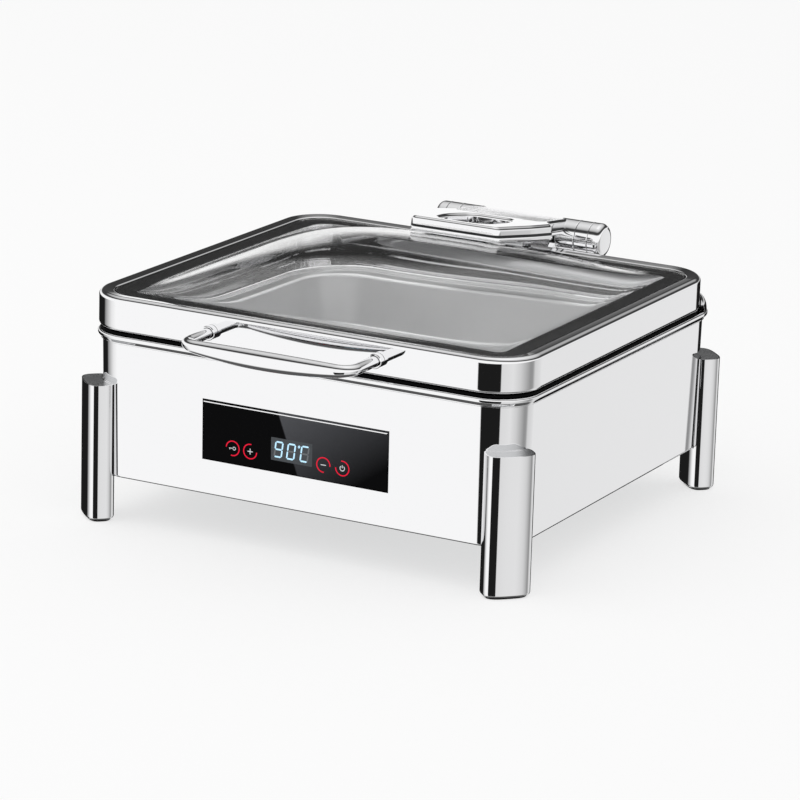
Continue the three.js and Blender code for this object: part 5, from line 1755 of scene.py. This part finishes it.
@dataclass
class Hinge:
    """The rear hinge: bracket, dampers and end caps on one shaft, and what fastens them."""

    datum: Datum
    pans: Pans
    barrel: float = 16.5 * MILLIMETRE
    knuckle: float = 13 * MILLIMETRE
    knuckle_half: float = 36 * MILLIMETRE
    bore: float = 5.3 * MILLIMETRE
    edge: float = 0.8 * MILLIMETRE
    cap_round: float = 6 * MILLIMETRE
    web: float = 12 * MILLIMETRE
    head: float = 4.9 * MILLIMETRE
    head_height: float = 2.6 * MILLIMETRE
    socket: float = 2 * MILLIMETRE

    def make(self) -> None:
        """Makes the bracket, the dampers, the caps and the bolts."""
        self.bracket()
        for side, sign in (("left", -1), ("right", 1)):
            self.damper(side)
            self.cap(side, sign)
            self.bolt(side)

    def bracket(self) -> None:
        """A foot on the raised ledge, a leaning web and a bored knuckle."""
        low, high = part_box("hinge_bracket")
        bolt = middle_of("bracket_bolt_left")
        foot_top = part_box("bracket_bolt_left")[1].z - self.datum.gap
        foot_rear = self.datum.casing.centre_y + self.datum.casing.half_y + self.pans.bead
        foot = box_piece(
            "foot", (low.x, low.y, self.datum.rim_top + self.pans.ledge_rise / 2),
            (high.x, foot_rear, foot_top))
        soften(foot, 1.5 * MILLIMETRE, 3, 60)
        saddle = self.pans.ledge_block(-self.datum.gap)
        saddle.data.transform(Matrix.Translation((0, 0, self.datum.gap)))
        combine(foot, saddle, "DIFFERENCE")
        hinge = self.datum.hinge
        low_z = foot_top - self.web / 2
        outline = [
            (foot_rear - self.web, low_z), (foot_rear, low_z - 4.5 * MILLIMETRE),
            (hinge.y + self.knuckle / 2, hinge.z - self.knuckle / 2),
            (hinge.y - self.knuckle / 2, hinge.z + self.knuckle / 4)]
        web = prism("web", outline, low.x, high.x)
        web.data.transform(Matrix(((0, 0, 1, 0), (1, 0, 0, 0), (0, 1, 0, 0), (0, 0, 0, 1))))
        soften(web, 1 * MILLIMETRE, 3, 30)
        combine(foot, web, "UNION")
        knuckle = turned_piece(
            "knuckle", drum_profile(self.knuckle, -self.knuckle_half, self.knuckle_half, self.edge), Axis.X,
            (0, hinge.y, hinge.z), 96)
        combine(foot, knuckle, "UNION")
        bore = turned_piece(
            "bore", drum_profile(self.bore, -2 * self.knuckle_half, 2 * self.knuckle_half, 0), Axis.X,
            (0, hinge.y, hinge.z), 48)
        combine(foot, bore, "DIFFERENCE")
        for sign in (-1, 1):
            centre = (sign * abs(bolt.x), bolt.y, 0)
            seat = turned_piece("seat", drum_profile(
                self.head + self.datum.gap, foot_top - self.head_height, hinge.z + self.barrel, 0), Axis.Z,
                centre, 48)
            combine(foot, seat, "DIFFERENCE")
        foot.name = "bracket_on_ledge"
        place(polish(foot, 38), MIRROR_STEEL, "root", "polished_steel", ["hinge_bracket"])

    def damper(self, side: str) -> None:
        """A drum between the arm's barrel and the cap."""
        low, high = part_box(f"damper_{side}")
        drum = ring_barrel(
            f"damper_drum_{side}", self.barrel, self.bore, low.x, high.x, self.edge, self.datum.hinge)
        place(polish(drum, 38), MIRROR_STEEL, "root", "polished_steel", [f"damper_{side}"])

    def cap(self, side: str, sign: int) -> None:
        """A domed cap over the shaft's end."""
        low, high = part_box(f"hinge_cap_{side}")
        length = high.x - low.x
        skin = filleted([
            (0, length, 0), (self.barrel, length, self.cap_round), (self.barrel, 0, 0.4 * MILLIMETRE),
            (self.bore, 0, 0), (self.bore, length - self.cap_round, 0), (0, length - self.cap_round, 0)])
        near = low.x if sign > 0 else high.x
        cap = turned_piece(f"domed_cap_{side}", [(r, along * sign) for r, along in skin], Axis.X,
                           (near, self.datum.hinge.y, self.datum.hinge.z), 96)
        place(polish(cap, 38), MIRROR_STEEL, "root", "polished_steel", [f"hinge_cap_{side}"])

    def bolt(self, side: str) -> None:
        """A round-headed bolt with a hex socket."""
        low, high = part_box(f"bracket_bolt_{side}")
        centre = middle_of(f"bracket_bolt_{side}")
        profile = filleted([
            (0, low.z, 0), (2.5 * MILLIMETRE, low.z, 0.4 * MILLIMETRE),
            (2.5 * MILLIMETRE, high.z - self.head_height, 0),
            (self.head, high.z - self.head_height, 0.2 * MILLIMETRE), (self.head, high.z, 0.9 * MILLIMETRE),
            (0, high.z, 0)])
        bolt = turned_piece(f"socket_bolt_{side}", profile, Axis.Z, (centre.x, centre.y, 0), 48)
        deselect_everything()
        bpy.ops.mesh.primitive_cylinder_add(
            vertices=6, radius=self.socket, depth=2 * MILLIMETRE, location=(centre.x, centre.y, high.z))
        socket = bpy.context.object
        bpy.ops.object.transform_apply(location=True)
        combine(bolt, socket, "DIFFERENCE")
        place(polish(bolt, 38), MILL_STEEL, "root", "sheet_steel", [f"bracket_bolt_{side}"])


# Inner pieces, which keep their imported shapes


class Kept(Enum):
    """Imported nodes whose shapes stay, with the finish that each gets."""

    BASE_PLATE = ("base_plate", MILL_STEEL)
    HEATER_TRAY = ("heater_tray", MILL_STEEL)
    HEATING_PLATE = ("heating_plate", CAST_ALUMINIUM)
    INSULATION = ("insulation_pad", CERAMIC_FIBRE)
    CUTOUT = ("thermal_cutout", TURNED_BRASS)
    SENSOR = ("temperature_sensor", TURNED_BRASS)
    HOUSING = ("panel_housing", BLACK_PLASTIC)
    TOUCH_BOARD = ("touch_board", CIRCUIT_BOARD)
    CONTROL_BOARD = ("control_board", CIRCUIT_BOARD)
    DISPLAY = ("display_module", SMOKED_WINDOW)
    SHAFT = ("hinge_shaft", SATIN_STEEL)
    BUSH_LEFT = ("hinge_bush_left", BLACK_PLASTIC)
    BUSH_RIGHT = ("hinge_bush_right", BLACK_PLASTIC)
    ARM_PAD = ("arm_pad", BLACK_SILICONE)
    CLAMP = ("clamp_plate", MIRROR_STEEL)
    ARM_SCREW_LEFT = ("arm_screw_left", MILL_STEEL)
    ARM_SCREW_RIGHT = ("arm_screw_right", MILL_STEEL)
    HANDLE_SCREW_LEFT = ("handle_screw_left", MILL_STEEL)
    HANDLE_SCREW_RIGHT = ("handle_screw_right", MILL_STEEL)


def dress_kept(frame: dict) -> None:
    """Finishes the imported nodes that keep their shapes."""
    for kept in Kept:
        node, finish = kept.value
        dress_node(frame, node, finish)
    for corner in ("front_left", "front_right", "rear_left", "rear_right"):
        dress_node(frame, f"leg_bolt_{corner}", MILL_STEEL)
        dress_node(frame, f"base_screw_{corner}", MILL_STEEL)


# Studio


@dataclass
class Studio:
    """A pale floor, a white room with black and grey cards, one soft lamp and the camera."""

    aim: tuple[float, float, float] = (-0.0037, 0.0075, 0.0940)
    distance: float = 3.5852
    azimuth: float = 28.05
    elevation: float = 15.558
    roll: float = 1.718
    lens: float = 179.60
    sensor: float = 36.0
    floor_size: float = 40.0
    room_light: float = 0.86
    lamp_power: float = 16.0
    lamp_size: float = 3.0
    lamp_place: tuple[float, float, float] = (-1.2, -1.0, 3.2)
    ground_tip: float = 5.0
    sky_tip: float = -20.0
    floor_glow: float = 0.6
    cards: tuple = (
        (-180, 0.012), (-165.5, 0.012), (-164.5, 1.0), (-138.5, 1.0), (-137.5, 0.012), (-91, 0.012),
        (-86, 0.28), (-62, 0.85), (-48, 1.0), (-18.5, 1.0), (-17.5, 0.012), (36.5, 0.012), (37.5, 0.74),
        (66, 0.80), (84, 0.66), (112, 0.30), (120, 0.32), (127, 0.66), (150, 0.78), (158.5, 0.86),
        (159.5, 0.012), (180, 0.012))
    ground: tuple = ((-90, 0.08), (-51, 0.10), (-42, 1.0), (90, 1.0))
    sky: tuple = (
        (-90, 1.0), (20, 1.0), (23, 0.45), (26.5, 0.06), (40, 0.04), (47, 0.4), (55, 0.6), (75, 0.85),
        (90, 1.0))
    inner_sky: tuple = (
        (-90, 1.0), (21, 1.0), (24, 0.5), (27, 0.08), (32, 0.08), (37, 0.95), (41, 1.0), (90, 1.0))
    card_reach: tuple = ((-44, 0.0), (-40, 1.0), (-7, 1.0), (-4.5, 0.0))

    def make(self) -> None:
        """Sets the floor, the room, the lamp and the camera."""
        self.floor()
        self.room()
        self.lamp()
        self.camera()

    def floor(self) -> None:
        """A wide pale floor, which polished metal doesn't mirror, as it stands for a light table."""
        deselect_everything()
        bpy.ops.mesh.primitive_grid_add(x_subdivisions=4, y_subdivisions=4, size=self.floor_size)
        floor = bpy.context.object
        floor.name = "studio_floor"
        material = bpy.data.materials.new("white_table")
        material.use_nodes = True
        tree = material.node_tree
        tree.nodes.clear()
        paint = add_node(tree, "ShaderNodeBsdfDiffuse", Color=linear("#FBFBFB"))
        glow = add_node(tree, "ShaderNodeEmission", Color=(1.0, 1.0, 1.0, 1.0), Strength=1.0)
        rays = add_node(tree, "ShaderNodeLightPath")
        share = add_node(
            tree, "ShaderNodeMath", {"operation": "MULTIPLY"}, n0=rays.outputs["Is Camera Ray"],
            n1=self.floor_glow)
        both = add_node(
            tree, "ShaderNodeMixShader", n0=share.outputs[0], n1=paint.outputs[0], n2=glow.outputs[0])
        add_node(tree, "ShaderNodeOutputMaterial", Surface=both.outputs[0])
        floor.data.materials.append(material)
        floor.visible_glossy = False
        floor.visible_transmission = False

    def room(self) -> None:
        """The room: plain white to the eye and to paint, with its cards only for metal and glass."""
        world = bpy.data.worlds.new("white_room")
        bpy.context.scene.world = world
        world.use_nodes = True
        tree = world.node_tree
        tree.nodes.clear()
        way = add_node(tree, "ShaderNodeTexCoord").outputs["Generated"]
        parts = add_node(tree, "ShaderNodeSeparateXYZ", n0=way)
        back = add_node(tree, "ShaderNodeMath", {"operation": "MULTIPLY"}, n0=parts.outputs[1], n1=-1.0)
        around = add_node(
            tree, "ShaderNodeMath", {"operation": "ARCTAN2"}, n0=parts.outputs[0], n1=back.outputs[0])
        up = add_node(tree, "ShaderNodeMath", {"operation": "ARCSINE"}, n0=parts.outputs[2])
        lean = add_node(tree, "ShaderNodeMath", {"operation": "COSINE"}, n0=around.outputs[0])
        low, high = (
            add_node(
                tree, "ShaderNodeMath", {"operation": "MULTIPLY_ADD"}, n0=lean.outputs[0],
                n1=math.radians(tip), n2=up.outputs[0])
            for tip in (self.ground_tip, self.sky_tip))
        ramps = {}
        for name, angle, span, marks in (
                ("ground", low, 180, self.ground), ("sky", high, 180, self.sky),
                ("inner_sky", high, 180, self.inner_sky), ("low_down", low, 180, self.card_reach),
                ("card", around, 360, self.cards)):
            share = add_node(
                tree, "ShaderNodeMath", {"operation": "MULTIPLY_ADD"}, n0=angle.outputs[0],
                n1=1 / math.radians(span), n2=0.5)
            ramp = add_node(tree, "ShaderNodeValToRGB", n0=share.outputs[0])
            elements = ramp.color_ramp.elements
            while len(elements) < len(marks):
                elements.new(1.0)
            for element, (degrees, grey) in zip(elements, marks):
                element.position = degrees / span + 0.5
                element.color = (grey, grey, grey, 1.0)
            ramps[name] = ramp.outputs[0]
        level = add_node(
            tree, "ShaderNodeMath", {"operation": "MULTIPLY"}, n0=ramps["ground"], n1=ramps["sky"])
        carded = add_node(
            tree, "ShaderNodeMix", {"data_type": "FLOAT"}, n0=ramps["low_down"], n2=1.0, n3=ramps["card"])
        mirrored = add_node(
            tree, "ShaderNodeMath", {"operation": "MULTIPLY"}, n0=level.outputs[0], n1=carded.outputs[0])
        rays = add_node(tree, "ShaderNodeLightPath")
        through = add_node(
            tree, "ShaderNodeMix", {"data_type": "FLOAT"}, n0=rays.outputs["Is Transmission Ray"],
            n2=mirrored.outputs[0], n3=ramps["inner_sky"])
        soft = add_node(
            tree, "ShaderNodeMix", {"data_type": "FLOAT"}, n0=rays.outputs["Diffuse Depth"],
            n2=through.outputs[0], n3=self.room_light)
        seen = add_node(
            tree, "ShaderNodeMix", {"data_type": "FLOAT"}, n0=rays.outputs["Is Camera Ray"],
            n2=soft.outputs[0], n3=1.0)
        light = add_node(
            tree, "ShaderNodeBackground", Color=(1.0, 1.0, 1.0, 1.0), Strength=seen.outputs[0])
        add_node(tree, "ShaderNodeOutputWorld", Surface=light.outputs[0])

    def lamp(self) -> None:
        """One large soft lamp, which only adds shape to the shadows."""
        lamp = bpy.data.lights.new("soft_lamp", "AREA")
        lamp.energy = self.lamp_power
        lamp.size = self.lamp_size
        holder = bpy.data.objects.new("soft_lamp", lamp)
        bpy.context.scene.collection.objects.link(holder)
        holder.location = self.lamp_place
        holder.rotation_euler = (-Vector(self.lamp_place)).to_track_quat("-Z", "Y").to_euler()
        holder.visible_glossy = False
        holder.visible_camera = False

    def camera(self) -> None:
        """The camera, at the viewing angle of the photograph."""
        around = math.radians(self.azimuth)
        up = math.radians(self.elevation)
        away = Vector((
            math.sin(around) * math.cos(up), -math.cos(around) * math.cos(up), math.sin(up)))
        camera = bpy.data.cameras.new("studio_camera")
        camera.lens = self.lens
        camera.sensor_width = self.sensor
        camera.clip_end = 100
        holder = bpy.data.objects.new("studio_camera", camera)
        bpy.context.scene.collection.objects.link(holder)
        turn = (-away).to_track_quat("-Z", "Y").to_matrix().to_4x4()
        holder.matrix_world = (
            Matrix.Translation(Vector(self.aim) + away * self.distance) @ turn
            @ Matrix.Rotation(math.radians(self.roll), 4, "Z"))
        bpy.context.scene.camera = holder


def main() -> None:
    """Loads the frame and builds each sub-assembly round it."""
    logging.basicConfig(level=logging.INFO, format="%(name)s: %(message)s")
    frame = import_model()
    deselect_everything()
    bpy.context.scene.view_settings.view_transform = "Standard"
    Studio().make()
    datum = Datum.read()
    pans = Pans(datum)
    dome = Dome(datum.lid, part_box("glass_seal")[1].z + datum.gap + 4 * MILLIMETRE)
    Casing(datum).make()
    pans.make()
    Legs(datum).make()
    ControlPanel(datum).make()
    PowerInlet().make()
    Lid(datum, dome).make()
    Handle(datum).make()
    HingeArm(datum, dome).make()
    Hinge(datum, pans).make()
    dress_kept(frame)
    deselect_everything()


if __name__ == "__main__":
    main()
